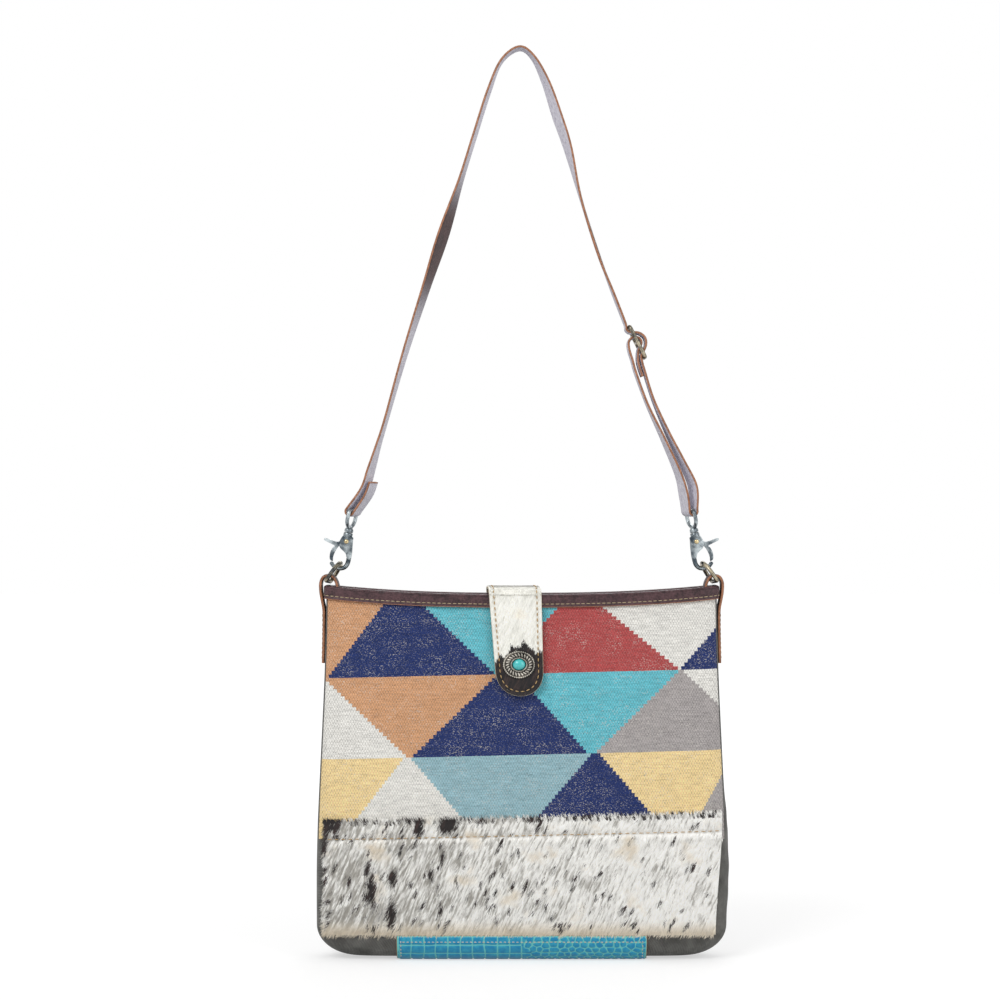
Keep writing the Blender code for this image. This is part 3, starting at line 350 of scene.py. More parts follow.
def waves(a, b, sizes, seed):
    # A soft wavy field from 0 to 1: a sum of sines over a and b, in metres, with waves of the given sizes
    draw = np.random.default_rng(seed)
    total = 0
    for size in sizes:
        for _ in range(3):
            turn, phase = draw.uniform(0, np.pi), draw.uniform(0, 2 * np.pi)
            total = total + np.sin(2 * np.pi * (a * np.cos(turn) + b * np.sin(turn)) / size + phase) / 3
    return np.clip(0.5 + 0.5 * total / len(sizes) * 1.4, 0, 1)


# The bag's outline, as the solids have it
bag = {
    "mouthHalfWidth": 160.5 * mm,
    "lowHalfWidth": 168 * mm,
    "mouthHalfDepth": 18 * mm,
    "lowHalfDepth": 28 * mm,
    "mouthHeight": 297 * mm,
    "mouthRise": 7 * mm,
    "risePower": 2.5,
    "dipDepth": 80 * mm,
    "fullestHeight": 60 * mm,
    "cornerSide": 35 * mm,
    "cornerFront": 14 * mm,
    "cornerHeight": 26 * mm,
    "squareness": 7,
    "seamShare": 0.992,
    "crowding": 0.92,
    "base": 2.5 * mm,
    "gap": 0.3 * mm,
}


def eased(share):  # 0 to 1 with soft ends: 3 s^2 - 2 s^3
    share = np.clip(share, 0, 1)
    return share * share * (3 - 2 * share)


def section(height, offset=0.0):
    # Half width, half depth and Z at a height over the base: widths ease from mouth to belly, corners are rounded
    height = np.asarray(height, float)
    low = eased((bag["mouthHeight"] - height) / (bag["mouthHeight"] - bag["fullestHeight"]))
    wide = bag["mouthHalfWidth"] + (bag["lowHalfWidth"] - bag["mouthHalfWidth"]) * low
    deep = bag["mouthHalfDepth"] + (bag["lowHalfDepth"] - bag["mouthHalfDepth"]) * low
    cosine = np.clip(1 - height / bag["cornerHeight"], 0, 1)
    sine = np.sqrt(1 - cosine**2)
    wide = wide - bag["cornerSide"] + (bag["cornerSide"] + offset) * sine
    deep = deep - bag["cornerFront"] + (bag["cornerFront"] + offset) * sine
    level = bag["base"] + np.maximum(height, bag["cornerHeight"]) - (bag["cornerHeight"] + offset) * cosine
    return wide, deep, level


def lifted(x, y, z):
    # The mouth's ends stand higher than its middle: Z + rise * |x / half width|^2.5, fading below the mouth
    near = eased((z - bag["mouthHeight"] + bag["dipDepth"]) / bag["dipDepth"])
    rise = bag["mouthRise"] * np.abs(x / bag["mouthHalfWidth"]) ** bag["risePower"] * near
    return np.stack(np.broadcast_arrays(x, y, z + rise), -1)


def facePoints(x, height, offset, side):
    # Front (side -1) or back (1): y = side * deep * (1 - |x / wide|^7)^(1/7)
    wide, deep, level = section(height, offset)
    x, wide, deep, level = np.broadcast_arrays(x, wide, deep, level)
    inside = np.clip(1 - np.abs(x / wide) ** bag["squareness"], 0, 1)
    return lifted(x, side * deep * inside ** (1 / bag["squareness"]), level)


def endPoints(share, height, offset, side):
    # Left (side -1) or right (1) end: the same outline read over its depth
    wide, deep, level = section(height, offset)
    power = bag["squareness"]
    y = share * deep * (1 - bag["seamShare"] ** power) ** (1 / power)
    x = side * wide * (1 - np.abs(y / deep) ** power) ** (1 / power)
    return lifted(*np.broadcast_arrays(x, y, level))


def seamX(height, offset=0.0):
    return bag["seamShare"] * section(height, offset)[0]


def crowdedShares(count):
    # From seam to seam as -1 to 1, sin(a) / sin(end), the points closer together where the outline bends
    end = bag["crowding"] * math.pi / 2
    return np.sin(np.linspace(-1, 1, count) * end) / math.sin(end)


def outward(points):
    # Unit normals of a grid of points, from its neighbours along columns and rows
    return unit(np.cross(np.gradient(points, axis=1), np.gradient(points, axis=0)))


# Materials
weave = {
    "rowSlope": 0.024,
    "step": 3.0 * mm,
    "ribWide": 2.2 * mm,
    "ribHigh": 2.0 * mm,
    "weft": 1.0 * mm,
    # Rows from the mouth down: Z of the lower end, colours, and where each edge between two starts and ends, in mm
    "rows": [
        (234, ["tan", "navy", "turquoise", "red", "white", "navy"],
         [(-110, -159), (-86, -21.5), (39, -21.5), (54, 129.5), (186, 129)]),
        (168, ["white", "tan", "navy", "turquoise", "grey", "white"],
         [(-162, -93), (-19.5, -90), (-4, 54), (129.5, 60), (131, 199)]),
        (95, ["yellow", "white", "steel", "navy", "yellow", "grey"],
         [(-96, -154), (-91, -29), (57.5, -7), (63, 125), (176, 133)]),
    ],
    "colours": {
        "tan": shade(214, 161, 120), "navy": shade(35, 52, 106), "turquoise": shade(104, 194, 208),
        "red": shade(182, 80, 80), "white": shade(236, 234, 228), "grey": shade(172, 166, 165),
        "steel": shade(151, 188, 198), "yellow": shade(247, 219, 160),
    },
}


def weaveMaterial():
    made, place, join = startMaterial("handWovenWool", Roughness=0.92, Specular_IOR_Level=0.15, Sheen_Weight=0.25)
    x, _, z = place.parts()
    wobble = (place.noise(420, 2) - 0.5) * 1.6 * mm
    rowTop = bag["mouthHeight"]
    total = None
    level = z - weave["rowSlope"] * x
    for bottom, names, edges in weave["rows"]:
        stepped = ((rowTop - level) / weave["step"]).maths("FLOOR") * weave["step"] + weave["step"] / 2
        share = stepped / (rowTop - bottom * mm)
        colour = weave["colours"][names[0]]
        for name, (above, below) in zip(names[1:], edges):
            past = (x + wobble) > share * ((below - above) * mm) + above * mm
            colour = past.pick(colour, weave["colours"][name])
        total = (rowTop - level - wobble * 0.4 > 0).pick(total, colour) if total else colour
        rowTop = bottom * mm
    yarn = place.stretched(0.16, 1, 1).noise(760, 2, 0.6)  # each weft thread a little lighter or darker
    patchy = place.noise(45, 3)
    flecks = place.stretched(0.55, 1, 1).noise(1500, 1).between(0.57, 0.66)
    bare = place.noise(70, 2).between(0.4, 0.62)
    knots = place.stretched(0.6, 1, 1).noise(640, 2).between(0.62, 0.7)
    shift = (z / weave["ribHigh"]).maths("FLOOR") * (math.pi / 2)
    ribs = (x * (math.pi / weave["ribWide"]) + shift).maths("SINE").maths("ABSOLUTE")
    wefts = (z * (math.pi / weave["weft"])).maths("SINE").maths("ABSOLUTE")
    ribReliefAndShade = ribs * 0.6 + wefts * 0.4
    # The colour darkens where the ribs and weft rows dip: painted shade in the grooves; yarn, patchy and knots vary
    # the tone at random
    total = total.shaded(0.17 + ribReliefAndShade * 0.62 + yarn * 0.82 + patchy * 0.16 - knots * 0.24)
    total = (flecks * (bare * 0.36 + 0.16)).pick(total, shade(232, 226, 218))
    join(Base_Color=total, Normal=bumpOf(ribReliefAndShade + yarn * 0.8, 0.6 * mm, 1.0))
    return made


def furMaterial(name, light, middle, dark, tint):
    # Hair and the skin under it: pale hair in streaks, dark where the attribute "dark" is near 1
    made, place, join = startMaterial(name, Roughness=0.6, Specular_IOR_Level=0.3, Sheen_Weight=0.3)
    streaks = place.stretched(1, 1, 0.16, math.radians(-24)).noise(520, 3, 0.6)
    patchy = place.noise(38, 3)
    across, _, height = place.parts()
    pale = (streaks * 1.15 + patchy * 0.5 - 0.3 + across * 0.6).between(0.28, 0.62).pick(middle, light)
    # The lighter brown streaks in the black hair are partly its own brown tone and partly painted sheen
    deep = streaks.between(0.45, 0.7).pick(dark, shade(64, 50, 47))
    yellowed = patchy.between(0.55, 0.8).maths("MAXIMUM", height.between(36 * mm, 22 * mm) * 0.8)
    pale = yellowed.pick(pale, tint)
    black = place.attribute("dark") + (streaks - 0.5) * 1.5
    one = place.attribute("strand")
    join(Base_Color=black.between(0.42, 0.66).pick(pale.shaded(0.88 + one * 0.3), deep),
         Normal=bumpOf(streaks, 0.5 * mm, 0.7))
    return made


def canvasMaterial():
    made, place, join = startMaterial("greyCanvas", Roughness=0.95, Specular_IOR_Level=0.15, Sheen_Weight=0.2)
    x, y, z = place.parts()
    thread = 1.1 * mm
    warp = ((x + y) * (math.pi / thread)).maths("SINE")
    weft = (z * (math.pi / thread)).maths("SINE")
    cloth = warp * weft * 0.5 + 0.5
    patchy = place.noise(85, 4)
    lint = place.noise(900, 2).between(0.6, 0.75)
    # The thread relief also darkens the colour between threads: a little painted shade; patchy is random tone
    grey = (patchy + cloth * 0.15).between(0.1, 1.0).pick(shade(64, 64, 61), shade(126, 125, 121))
    join(Base_Color=(lint * 0.3).pick(grey, shade(150, 149, 145)), Normal=bumpOf(cloth, 0.35 * mm, 0.8))
    return made


def leatherMaterial(name, deep, worn, rough=0.5):
    # Grained leather: "raw" is 1 on a cut edge, and the second attribute is 1 where a pale painted reflection, the
    # dark grain's grazing sheen, covers it
    made, place, join = startMaterial(name, Roughness=rough, Specular_IOR_Level=0.4, Coat_Roughness=0.45)
    grain = place.cells(620)
    creases = place.noise(140, 5, 0.65)
    raw, paintedSheen = place.attribute("raw"), place.attribute("paintedSheen")
    skin = (creases * 0.9 + grain * 0.3).between(0.35, 0.85).pick(deep, worn)
    fuzz = place.stretched(1, 1, 0.4).noise(700, 3)
    # The pale lavender is painted reflection: the sheen of the dark grain at grazing angles
    under = fuzz.between(0.3, 0.7).pick(shade(196, 192, 204), shade(230, 228, 236))
    edge = fuzz.between(0.25, 0.75).pick(shade(128, 84, 58), shade(182, 126, 94))
    colour = raw.between(0.35, 0.65).pick(paintedSheen.between(0.1, 0.9).pick(skin, under), edge)
    join(Base_Color=colour, Roughness=rough - 0.1 + creases * 0.25 + paintedSheen * 0.3,
         Normal=bumpOf(grain, 0.25 * mm, 0.6, bumpOf(creases, 0.8 * mm, 0.5)))
    return made


def patchMaterial():
    # Waxed blue over aqua: "cell" is 1 in the middle of an embossed scale and 0 in the groove
    made, place, join = startMaterial("crocEmbossedLeather", Roughness=0.38, Specular_IOR_Level=0.5)
    cell, raw = place.attribute("cell"), place.attribute("raw")
    rubbed = place.noise(190, 4, 0.6)
    scales = rubbed.between(0.35, 0.75).pick(shade(10, 138, 186), shade(56, 172, 200))
    scales = (cell * 1.1 - rubbed * 0.35).between(0.1, 0.6).pick(shade(112, 206, 204), scales)
    join(Base_Color=raw.between(0.4, 0.6).pick(scales, shade(172, 128, 92)), Roughness=0.3 + rubbed * 0.3,
         Normal=bumpOf(rubbed, 0.3 * mm, 0.5))
    return made


def metalMaterial(name, deep, bright, rough=0.32):
    made, place, join = startMaterial(name, Metallic=1.0, Roughness=rough)
    worn = place.noise(130, 3, 0.55)
    fine = place.noise(1500, 2)
    join(Base_Color=(worn + fine * 0.2).between(0.4, 0.85).pick(deep, bright), Roughness=rough - 0.08 + worn * 0.25,
         Normal=bumpOf(fine, 0.06 * mm, 0.4))
    return made


def stoneMaterial():
    made, place, join = startMaterial("turquoiseStone", Roughness=0.16, Specular_IOR_Level=0.6, Coat_Weight=0.4)
    veins = (place.noise(260, 3, 0.6) - 0.5).maths("ABSOLUTE").between(0.0, 0.014)
    tint = place.noise(240, 2).pick(shade(48, 182, 186), shade(84, 210, 206))
    join(Base_Color=(veins * 0.6 + 0.4).pick(shade(28, 104, 104), tint))
    return made


def plainMaterial(name, colour, rough=0.8):
    made, place, join = startMaterial(name, Roughness=rough, Specular_IOR_Level=0.25)
    twist = place.noise(1600, 2)
    join(Base_Color=twist.between(0.2, 0.8).pick(shade(*[c * 0.82 for c in colour]), shade(*colour)))
    return made


wool = weaveMaterial()
hideHair = furMaterial(
    "whiteHide", shade(255, 254, 250), shade(168, 164, 156), shade(34, 29, 29), shade(228, 214, 190))
tabHair = furMaterial("tabHide", shade(254, 253, 246), shade(232, 231, 222), shade(28, 25, 27), shade(244, 236, 218))
canvas = canvasMaterial()
leather = leatherMaterial("brownLeather", shade(50, 32, 33), shade(88, 66, 66))
bindingLeather = leatherMaterial("bindingLeather", shade(42, 23, 27), shade(90, 62, 66), 0.42)
patchLeather = patchMaterial()
gunmetal = metalMaterial("antiquedSteel", shade(66, 76, 84), shade(204, 213, 216))
ringMetal = metalMaterial("antiquedWire", shade(62, 64, 66), shade(204, 192, 164))
brass = metalMaterial("antiqueBrass", shade(150, 130, 92), shade(234, 216, 172), 0.28)
silver = metalMaterial("antiquedSilver", shade(150, 146, 138), shade(222, 216, 206), 0.3)
darkSilver = metalMaterial("tarnishedSilver", shade(34, 33, 32), shade(96, 92, 86), 0.4)
turquoise = stoneMaterial()
thread = plainMaterial("creamThread", (238, 226, 202))
tanThread = plainMaterial("tanThread", (206, 172, 122))
seamThread = plainMaterial("seamThread", (212, 192, 156))
rawHide = plainMaterial("rawHideEdge", (232, 218, 190))
print("materials made")


# Woven front
wovenFront = {"columns": 210, "rows": 120, "wall": 2.0 * mm, "soft": 0.7 * mm, "seed": 4, "foot": 96.5 * mm}


def panel(low, high, values, side, offset=0.0, puff=None, reach=None):
    # Outer and inner grid from seam to seam: x = seam * share, out by offset less a soft wave
    share = crowdedShares(values["columns"])
    rows = np.linspace(0, 1, values["rows"])[:, None]
    heights = low + (high(share) - low if callable(high) else high - low) * rows
    fade = 1 - np.abs(share) ** 8
    grids = []
    for inside in (0, 1):
        out = offset - (values["wall"] if inside else 0)
        x = reach(share, heights) if reach else (seamX(heights, out) - bag["gap"]) * share * -side
        away = 0 if inside else values["soft"] * waves(x, heights, (70 * mm, 38 * mm, 19 * mm), values["seed"])
        move = (puff(x, heights, rows) if puff and not inside else 0) - away * fade
        grids.append(facePoints(x, heights, out, side) + side * np.array([0, 1.0, 0]) * np.expand_dims(move, -1))
    return grids


topUnder = bag["mouthHeight"] - bag["base"]
wovenPanel = wall("wovenPanel", *panel(wovenFront["foot"], topUnder, wovenFront, -1), wool)
dress(wovenPanel, "bag", "woven_front")

back = {"columns": 130, "rows": 90, "wall": 1.8 * mm, "soft": 0.9 * mm, "seed": 9, "foot": 20.8 * mm}
backCloth = wall("backCloth", *panel(back["foot"], topUnder, back, 1), canvas)
dress(backCloth, "bag", "back_panel")
print("front and back cloth made")

# Canvas ends and base
gusset = {
    "face": 90, "end": 26, "wall": 1.8 * mm, "foot": 20.5 * mm, "frontTop": 27 * mm, "weaveFoot": 96.3 * mm,
    "wrap": 0.9273, "bulge": (0.4 * mm, 3.6 * mm), "steepest": 72, "sideTop": 150 * mm, "endShare": 0.7,
}


def bodyRing(heights, offset, face, end):
    # Closed rings of points: front, right end, back and left end, with a narrow cell at each seam
    heights = np.asarray(heights, float)[:, None]
    reach = 1 - bag["gap"] / 2 / seamX(heights)
    ends = np.linspace(-1, 1, end + 1) * (1 - bag["gap"] / 2 / (section(heights)[1] * gusset["endShare"]))
    along = seamX(heights, offset) * reach * crowdedShares(face + 1)
    return np.concatenate([
        facePoints(along, heights, offset, -1), endPoints(ends, heights, offset, 1),
        facePoints(-along, heights, offset, 1), endPoints(-ends, heights, offset, -1)], 1)


def canvasBody():
    # The whole ring at the base, and above it the two ends, wrapped round the front's corners below the weave
    face, end = gusset["face"], gusset["end"]
    corner = bag["cornerHeight"] * (1 - np.cos(np.radians(np.linspace(0, gusset["steepest"], 20))))
    corner = corner[corner < gusset["foot"] - 0.5 * mm]
    low = np.linspace(gusset["foot"], gusset["weaveFoot"], 26)
    heights = np.concatenate([corner, low, np.linspace(gusset["weaveFoot"] + 2.7 * mm, topUnder, 66)])
    lowCells = heights[1:, None] < gusset["weaveFoot"] + 0.1 * mm
    keep = np.zeros((len(heights) - 1, 2 * (face + end) + 4), bool)
    keep[: len(corner)] = True
    keep[:, :face] |= lowCells & (np.abs(crowdedShares(face)) > gusset["wrap"])
    keep[:, :face] |= heights[1:, None] < gusset["frontTop"]
    keep[:, [face, 2 * (face + end) + 3]] |= lowCells
    starts = {1: face + 1, -1: 2 * face + end + 3}
    for start in starts.values():
        keep[:, start : start + end] = True
    outer, inner = (bodyRing(heights, offset, face, end) for offset in (0.0, -gusset["wall"]))
    # The ends belly out between the seams and take soft folds
    columns = np.arange(outer.shape[1])
    tall = eased((heights - 20 * mm) / (40 * mm)) * eased((gusset["sideTop"] - heights) / (50 * mm))
    for side, start in starts.items():
        share = (columns - start) / end
        across = np.where((share >= 0) & (share <= 1), np.sin(np.clip(share, 0, 1) * math.pi), 0)
        folds = waves(heights[:, None], share[None] * 30 * mm, (46 * mm, 24 * mm), 12 + side)
        bulge = gusset["bulge"][side > 0]
        outer[..., 0] += side * bulge * across[None] * tall[:, None] * (0.45 + 0.55 * folds)
    return wall("canvasSides", outer, inner, canvas, around=True, keep=keep, floor=True)


canvasSides = canvasBody()
dress(canvasSides, "bag", "canvas_gusset")
print("canvas sides made")

# Hide panel with its hair
hide = {
    "columns": 170, "rows": 60, "wall": 2.6 * mm, "soft": 0.5 * mm, "seed": 21, "top": 117 * mm, "bottom": 22.5 * mm,
    "left": (160.5 * mm, 160.5 * mm), "right": (163.5 * mm, 158 * mm), "slope": 0.022, "stitchDown": 14 * mm,
    "hairCount": 30000, "hairLength": 5.6 * mm, "hairWidth": 0.5 * mm, "tuftCount": 2600, "speckCount": 190,
    "tuftFrom": 0.955, "tuftLength": 4.2 * mm, "rowHalf": 2.2 * mm, "rowDepth": 0.9 * mm, "edgeDepth": 0.7 * mm,
    "lean": math.radians(206), "tuftLean": math.radians(-22), "speckTilt": math.radians(25), "markTilt": 0.06,
    # Dark marks: X, Z, half width, half height in mm and how dark
    "marks": [(-156, 113, 12, 6, 1.0), (-160, 98, 5, 14, 0.8), (-125, 78, 3, 9, 0.8), (-92, 114, 4, 3, 0.8),
              (34, 30, 7, 4, 0.7), (26, 38, 4, 4, 0.7), (8, 58, 4, 3.5, 0.75), (14, 50, 3, 3, 0.7),
              (-83, 110, 4.5, 8, 1.0), (-59, 112, 9, 6.5, 1.0), (-63.8, 87, 2.8, 9, 0.9),
              (-73.2, 72.6, 3.3, 6.6, 0.85), (-121.8, 61, 4.4, 17, 0.95), (-103.9, 70.6, 4.2, 9, 0.95),
              (-104.7, 40.5, 4.4, 16, 0.95), (-118, 45, 12, 22, 0.5), (-119.8, 28.7, 2.6, 4.5, 0.8),
              (-30, 115, 8, 3, 0.6), (12, 116, 9, 3, 0.6), (58, 118, 8, 3, 0.6), (96, 118, 10, 3, 0.55),
              (-140, 70, 3, 9, 0.6), (-20, 36, 3, 7, 0.55)],
}


def allMarks():
    # The larger marks, nearly upright, and random tilted specks, denser at the left: X = -160 + 322 * random^1.35
    draw = np.random.default_rng(33)
    count = hide["speckCount"]
    across = -160 + 322 * draw.uniform(0, 1, count) ** 1.35
    ranges = ((27, 116), (0.9, 2.1), (2.0, 5), (0.6, 1))  # Z, half width, half height and how dark
    drawn = [draw.uniform(low, high, count) for low, high in ranges]
    specks = np.stack([across, *drawn, np.full(count, hide["speckTilt"])], 1)
    return [*[(*mark, hide["markTilt"]) for mark in hide["marks"]], *specks]


def darkness(x, z, scatter=0.0):
    # How dark the hair is: the highest of the marks, each exp(-0.9 * far^2) from its middle, and of a wavy field
    total = scatter * waves(x, z, (9 * mm, 5 * mm, 3.2 * mm), 33) ** 2
    for markX, markZ, wide, high, dark, tilt in marks:
        right, up = x - markX * mm, z - markZ * mm
        along = right * math.sin(tilt) + up * math.cos(tilt)
        aside = right * math.cos(tilt) - up * math.sin(tilt)
        total = np.maximum(total, dark * np.exp(-((aside / (wide * mm)) ** 2 + (along / (high * mm)) ** 2) * 0.9))
    return total


def hideTop(x):  # the height over the base of the hide's upper edge, which rises to the right
    return hide["top"] + hide["slope"] * x - bag["base"]


def hideReach(share, heights):
    # X from the left to the right edge, each easing from its lower to its upper place
    up = eased((heights + bag["base"] - hide["bottom"]) / (hide["top"] - hide["bottom"]))
    left, right = (hide[name][1] + (hide[name][0] - hide[name][1]) * up for name in ("left", "right"))
    return (right - left) / 2 + (right + left) / 2 * share


def hidePuff(x, heights, rows):
    # Padded between the seams: pressed in along the stitch row and at the lower seam
    row = np.exp(-(((heights - hideTop(x) + hide["stitchDown"]) / hide["rowHalf"]) ** 2))
    edge = np.exp(-((rows / 0.03) ** 2))
    return -hide["rowDepth"] * row - hide["edgeDepth"] * edge


def hideEdge(share):
    return hideTop(share * bag["lowHalfWidth"])


marks = allMarks()
hideOut = bag["gap"] + hide["wall"]
hideGrid, hideBack = panel(hide["bottom"] - bag["base"], hideEdge, hide, -1, hideOut, hidePuff, hideReach)
dark = darkness(hideGrid[..., 0], hideGrid[..., 2])
fields = {"dark": dark, "strand": np.full(dark.shape, 0.35)}
dress(wall("hidePanel", hideGrid, hideBack, hideHair, attributes=fields), "bag", "hide_front")


def onGrid(grid, u, v):
    # Points of a grid read between its corners at shares u of the columns and v of the rows, and its normals there
    rows, columns = grid.shape[:2]
    normals = outward(grid)
    c, r = u * (columns - 1.001), v * (rows - 1.001)
    i, j = c.astype(int), r.astype(int)
    p, q = (c - i)[:, None], (r - j)[:, None]

    def read(values):
        top = values[j + 1, i] * (1 - p) + values[j + 1, i + 1] * p
        return (values[j, i] * (1 - p) + values[j, i + 1] * p) * (1 - q) + top * q

    return read(grid), unit(read(normals))


def hideFur(name, count, low, high, length, rise, direction, seed, scatter=0.0):
    # Hair over the hide: random roots, leaning along direction within the surface and a little astray
    draw = np.random.default_rng(seed)
    u, v = draw.uniform(0.004, 0.996, count), low + (high - low) * draw.uniform(0, 1, count)
    roots, out = onGrid(hideGrid, u, v)
    swirl = waves(roots[:, 0], roots[:, 2], (60 * mm, 25 * mm), seed + 1) - 0.5
    angle = direction + swirl * 0.7 + draw.normal(0, 0.2, count)
    aim = np.stack([np.sin(angle), 0 * angle, np.cos(angle)], 1)
    lean = unit(aim - out * np.sum(aim * out, 1)[:, None])
    fields = {"dark": darkness(roots[:, 0], roots[:, 2], scatter), "strand": draw.uniform(0, 1, count)}
    reach = length * draw.uniform(0.7, 1.25, count)
    rise = rise * draw.uniform(0.5, 1.4, count)
    dress(hairs(name, roots, out, lean, reach, hide["hairWidth"], rise, hideHair, fields), "bag")


hideFur("hideFur", hide["hairCount"], 0.012, 0.99, hide["hairLength"], 0.1, hide["lean"], 33)
hideFur("hideTufts", hide["tuftCount"], hide["tuftFrom"], 0.998, hide["tuftLength"], 0.25, hide["tuftLean"], 34, 1.6)
print("hide made")


# Rows of stitches
def stitches(name, points, out, pitch, size, body, lift=0.0, material=thread, closed=False):
    # Eggs of thread of half sizes size laid every pitch along a line of points, pushed out by lift
    both = evenly(np.concatenate([points, out], 1), pitch, closed)
    spots, away = both[:, :3], unit(both[:, 3:])
    dress(scattered(name, spots + away * lift, np.gradient(spots, axis=0), away, size, material), body)


def faceLine(x, heights, offset, side):
    # Points along a line on the front or back with their normals
    x, heights = np.broadcast_arrays(x, heights)
    points = facePoints(x, heights, offset, side)
    step = 0.5 * mm
    right = facePoints(x + step, heights, offset, side) - points
    above = facePoints(x, heights + step, offset, side) - points
    return points, unit(np.cross(right, above)) * -side


x = np.linspace(-159 * mm, 161.5 * mm, 160)
points, out = faceLine(x, hideTop(x) - hide["stitchDown"], hideOut - 0.6 * mm, -1)
stitches("hideStitches", points, out, 5.6 * mm, (1.9 * mm, 0.36 * mm, 0.45 * mm), "bag",
         0.85 * mm, tanThread)

# Leather binding of the mouth
binding = {
    "wall": 1.7 * mm, "deep": 8.8 * mm, "inside": 2.3 * mm, "stitchUp": 2.7 * mm, "pitch": 4.2 * mm, "face": 150,
    "end": 22, "pressed": 0.35 * mm, "pressedHalf": 1.1 * mm, "cutEdge": 0.5 * mm,
}


def bindingRing():
    # A folded strip's outline, (out, up) from the mouth's edge, carried round the mouth and pressed in by its stitches
    thick, deep, gap, inside = binding["wall"], binding["deep"], bag["gap"], binding["inside"]
    bend = np.radians(np.linspace(0, 180, 13))
    radius = (inside + gap) / 2 + thick
    middle, foot = (gap - inside) / 2, 0.35 * mm
    over = [(middle + radius * math.cos(a), gap - foot + (thick + foot) * math.sin(a) ** 0.8) for a in bend]
    down = np.linspace(0.3 * mm, -deep, 12)
    outside = [(gap + thick, h) for h in down[::-1]]
    innerFace = [(-inside - thick, h) for h in down]
    back = [(-inside, -deep), (-inside, gap * 0.5), (gap, gap * 0.5), (gap, -deep)]
    outline = [*outside, *over, *innerFace, *back]
    rings, raws = [], []
    for out, up in outline:
        ring = bodyRing([topUnder + up], out, binding["face"], binding["end"])[0]
        near = math.exp(-(((up + deep - binding["stitchUp"]) / binding["pressedHalf"]) ** 2))
        if up > -deep + 0.2 * mm:
            ring[:, 1] -= np.sign(ring[:, 1]) * math.copysign(near * binding["pressed"], out)
        rings.append(ring)
        raws.append(np.full(len(ring), 1.0 if up < -deep + binding["cutEdge"] else 0.0))
    rings, raws = np.array(rings), np.concatenate(raws)
    faces = gridFaces(*rings.shape[:2], True, True)
    fields = {"raw": raws, "paintedSheen": 0 * raws}
    piece = newPiece("mouthBinding", rings.reshape(-1, 3), faces, bindingLeather, fields)
    sharpen(piece)
    dress(piece, "bag", "mouth_binding")


def bindingSeam():
    height, offset = topUnder - binding["deep"] + binding["stitchUp"], bag["gap"] + binding["wall"]
    ring = bodyRing([height], offset - binding["pressed"], binding["face"], binding["end"])[0]
    out = np.cross(np.roll(ring, -1, 0) - np.roll(ring, 1, 0), [0, 0, 1.0])
    stitches("bindingStitches", ring, out, binding["pitch"], (1.75 * mm, 0.32 * mm, 0.4 * mm), "bag",
             0.25 * mm, seamThread, True)


bindingRing()
bindingSeam()
print("binding made")

# Embossed patch under the base
patch = {
    "half": 102 * mm, "top": 22.3 * mm, "wall": 2.2 * mm, "columns": 260, "rows": 46, "boxes": (10 * mm, 8.5 * mm),
    "scales": (6.5 * mm, 5 * mm), "uneven": 0.34, "groove": 0.6 * mm, "grooveHalf": 1.1 * mm, "margin": 1.2 * mm,
    "cutEdge": 0.4 * mm, "seamDown": 5 * mm, "seamIn": 3.5 * mm, "pitch": 3.4 * mm,
    "stitch": (1.1 * mm, 0.4 * mm, 0.35 * mm), "lift": 0.05 * mm,
}


def scaleField(u, v):
    # How far each place is from the nearest groove between uneven scales: second nearest less nearest middle
    wide, tall = patch["scales"]
    across, up = int(0.30 / wide) + 4, int(0.16 / tall) + 4
    jitter = np.random.default_rng(6).uniform(-patch["uneven"], patch["uneven"], (up, across, 2))
    a, b = u / wide + across / 2, v / tall + 2
    i, j = np.floor(a).astype(int), np.floor(b).astype(int)
    found = []
    for dj in (-1, 0, 1):
        for di in (-1, 0, 1):
            ii, jj = np.clip(i + di, 0, across - 1), np.clip(j + dj, 0, up - 1)
            middleA = ii + 0.25 + 0.5 * (jj % 2) + jitter[jj, ii, 0]
            middleB = jj + 0.5 + jitter[jj, ii, 1] * 0.6
            found.append(np.hypot((a - middleA), (b - middleB) * 0.9))
    found = np.sort(np.array(found), 0)
    return eased((found[1] - found[0]) / 0.32)


def boxField(u, v):
    # The nearer of the distances to a box's upright and level edges, the boxes drifting a little
    wide, tall = patch["boxes"]
    drift = (waves(u, v, (30 * mm, 14 * mm), 4) - 0.5) * 2.4 * mm
    across, up = np.abs((u + drift) / wide % 1 - 0.5), np.abs((v.max() - v + drift * 0.4) / tall % 1 - 0.5)
    return eased(np.minimum((0.5 - across) * wide, (0.5 - up) * tall) / patch["grooveHalf"])


def patchPiece():
    # Down the back, under the base and up the front, each groove pressed in; boxes at the left, scales at the right
    x = np.linspace(-patch["half"], patch["half"], patch["columns"])
    climb = (patch["top"] - bag["base"]) * np.linspace(0, 1, patch["rows"])[:, None] ** 2
    grids = []
    for offset in (bag["gap"] + patch["wall"], bag["gap"]):
        back = facePoints(x, climb[::-1], offset, 1)
        front = facePoints(x, climb, offset, -1)
        under = np.linspace(0, 1, 14)[1:-1, None, None]
        middle = back[-1] * (1 - under) + front[0] * under
        grids.append(np.concatenate([back, middle, front]))
    outer, inner = grids
    u, v = np.broadcast_arrays(x[None], lengthAlong(outer[:, 0])[:, None])
    cell = np.where(u < waves(v, v, (22 * mm,), 3) * 12 * mm, boxField(u, v), scaleField(u, v))
    margin = np.minimum(patch["half"] - np.abs(u), np.minimum(v, v.max() - v))
    cell = np.where(margin < patch["margin"], 0.0, cell)
    inward = -outward(outer)
    inward *= np.sign(np.sum(inward * (inner - outer), -1, keepdims=True))
    outer = outer + inward * ((1 - cell) * patch["groove"])[..., None]
    raw = np.where(margin < patch["cutEdge"], 1.0, 0.0)
    fields = {"cell": cell, "raw": raw}
    dress(wall("basePatch", outer, inner, patchLeather, attributes=fields), "bag", "base_patch")


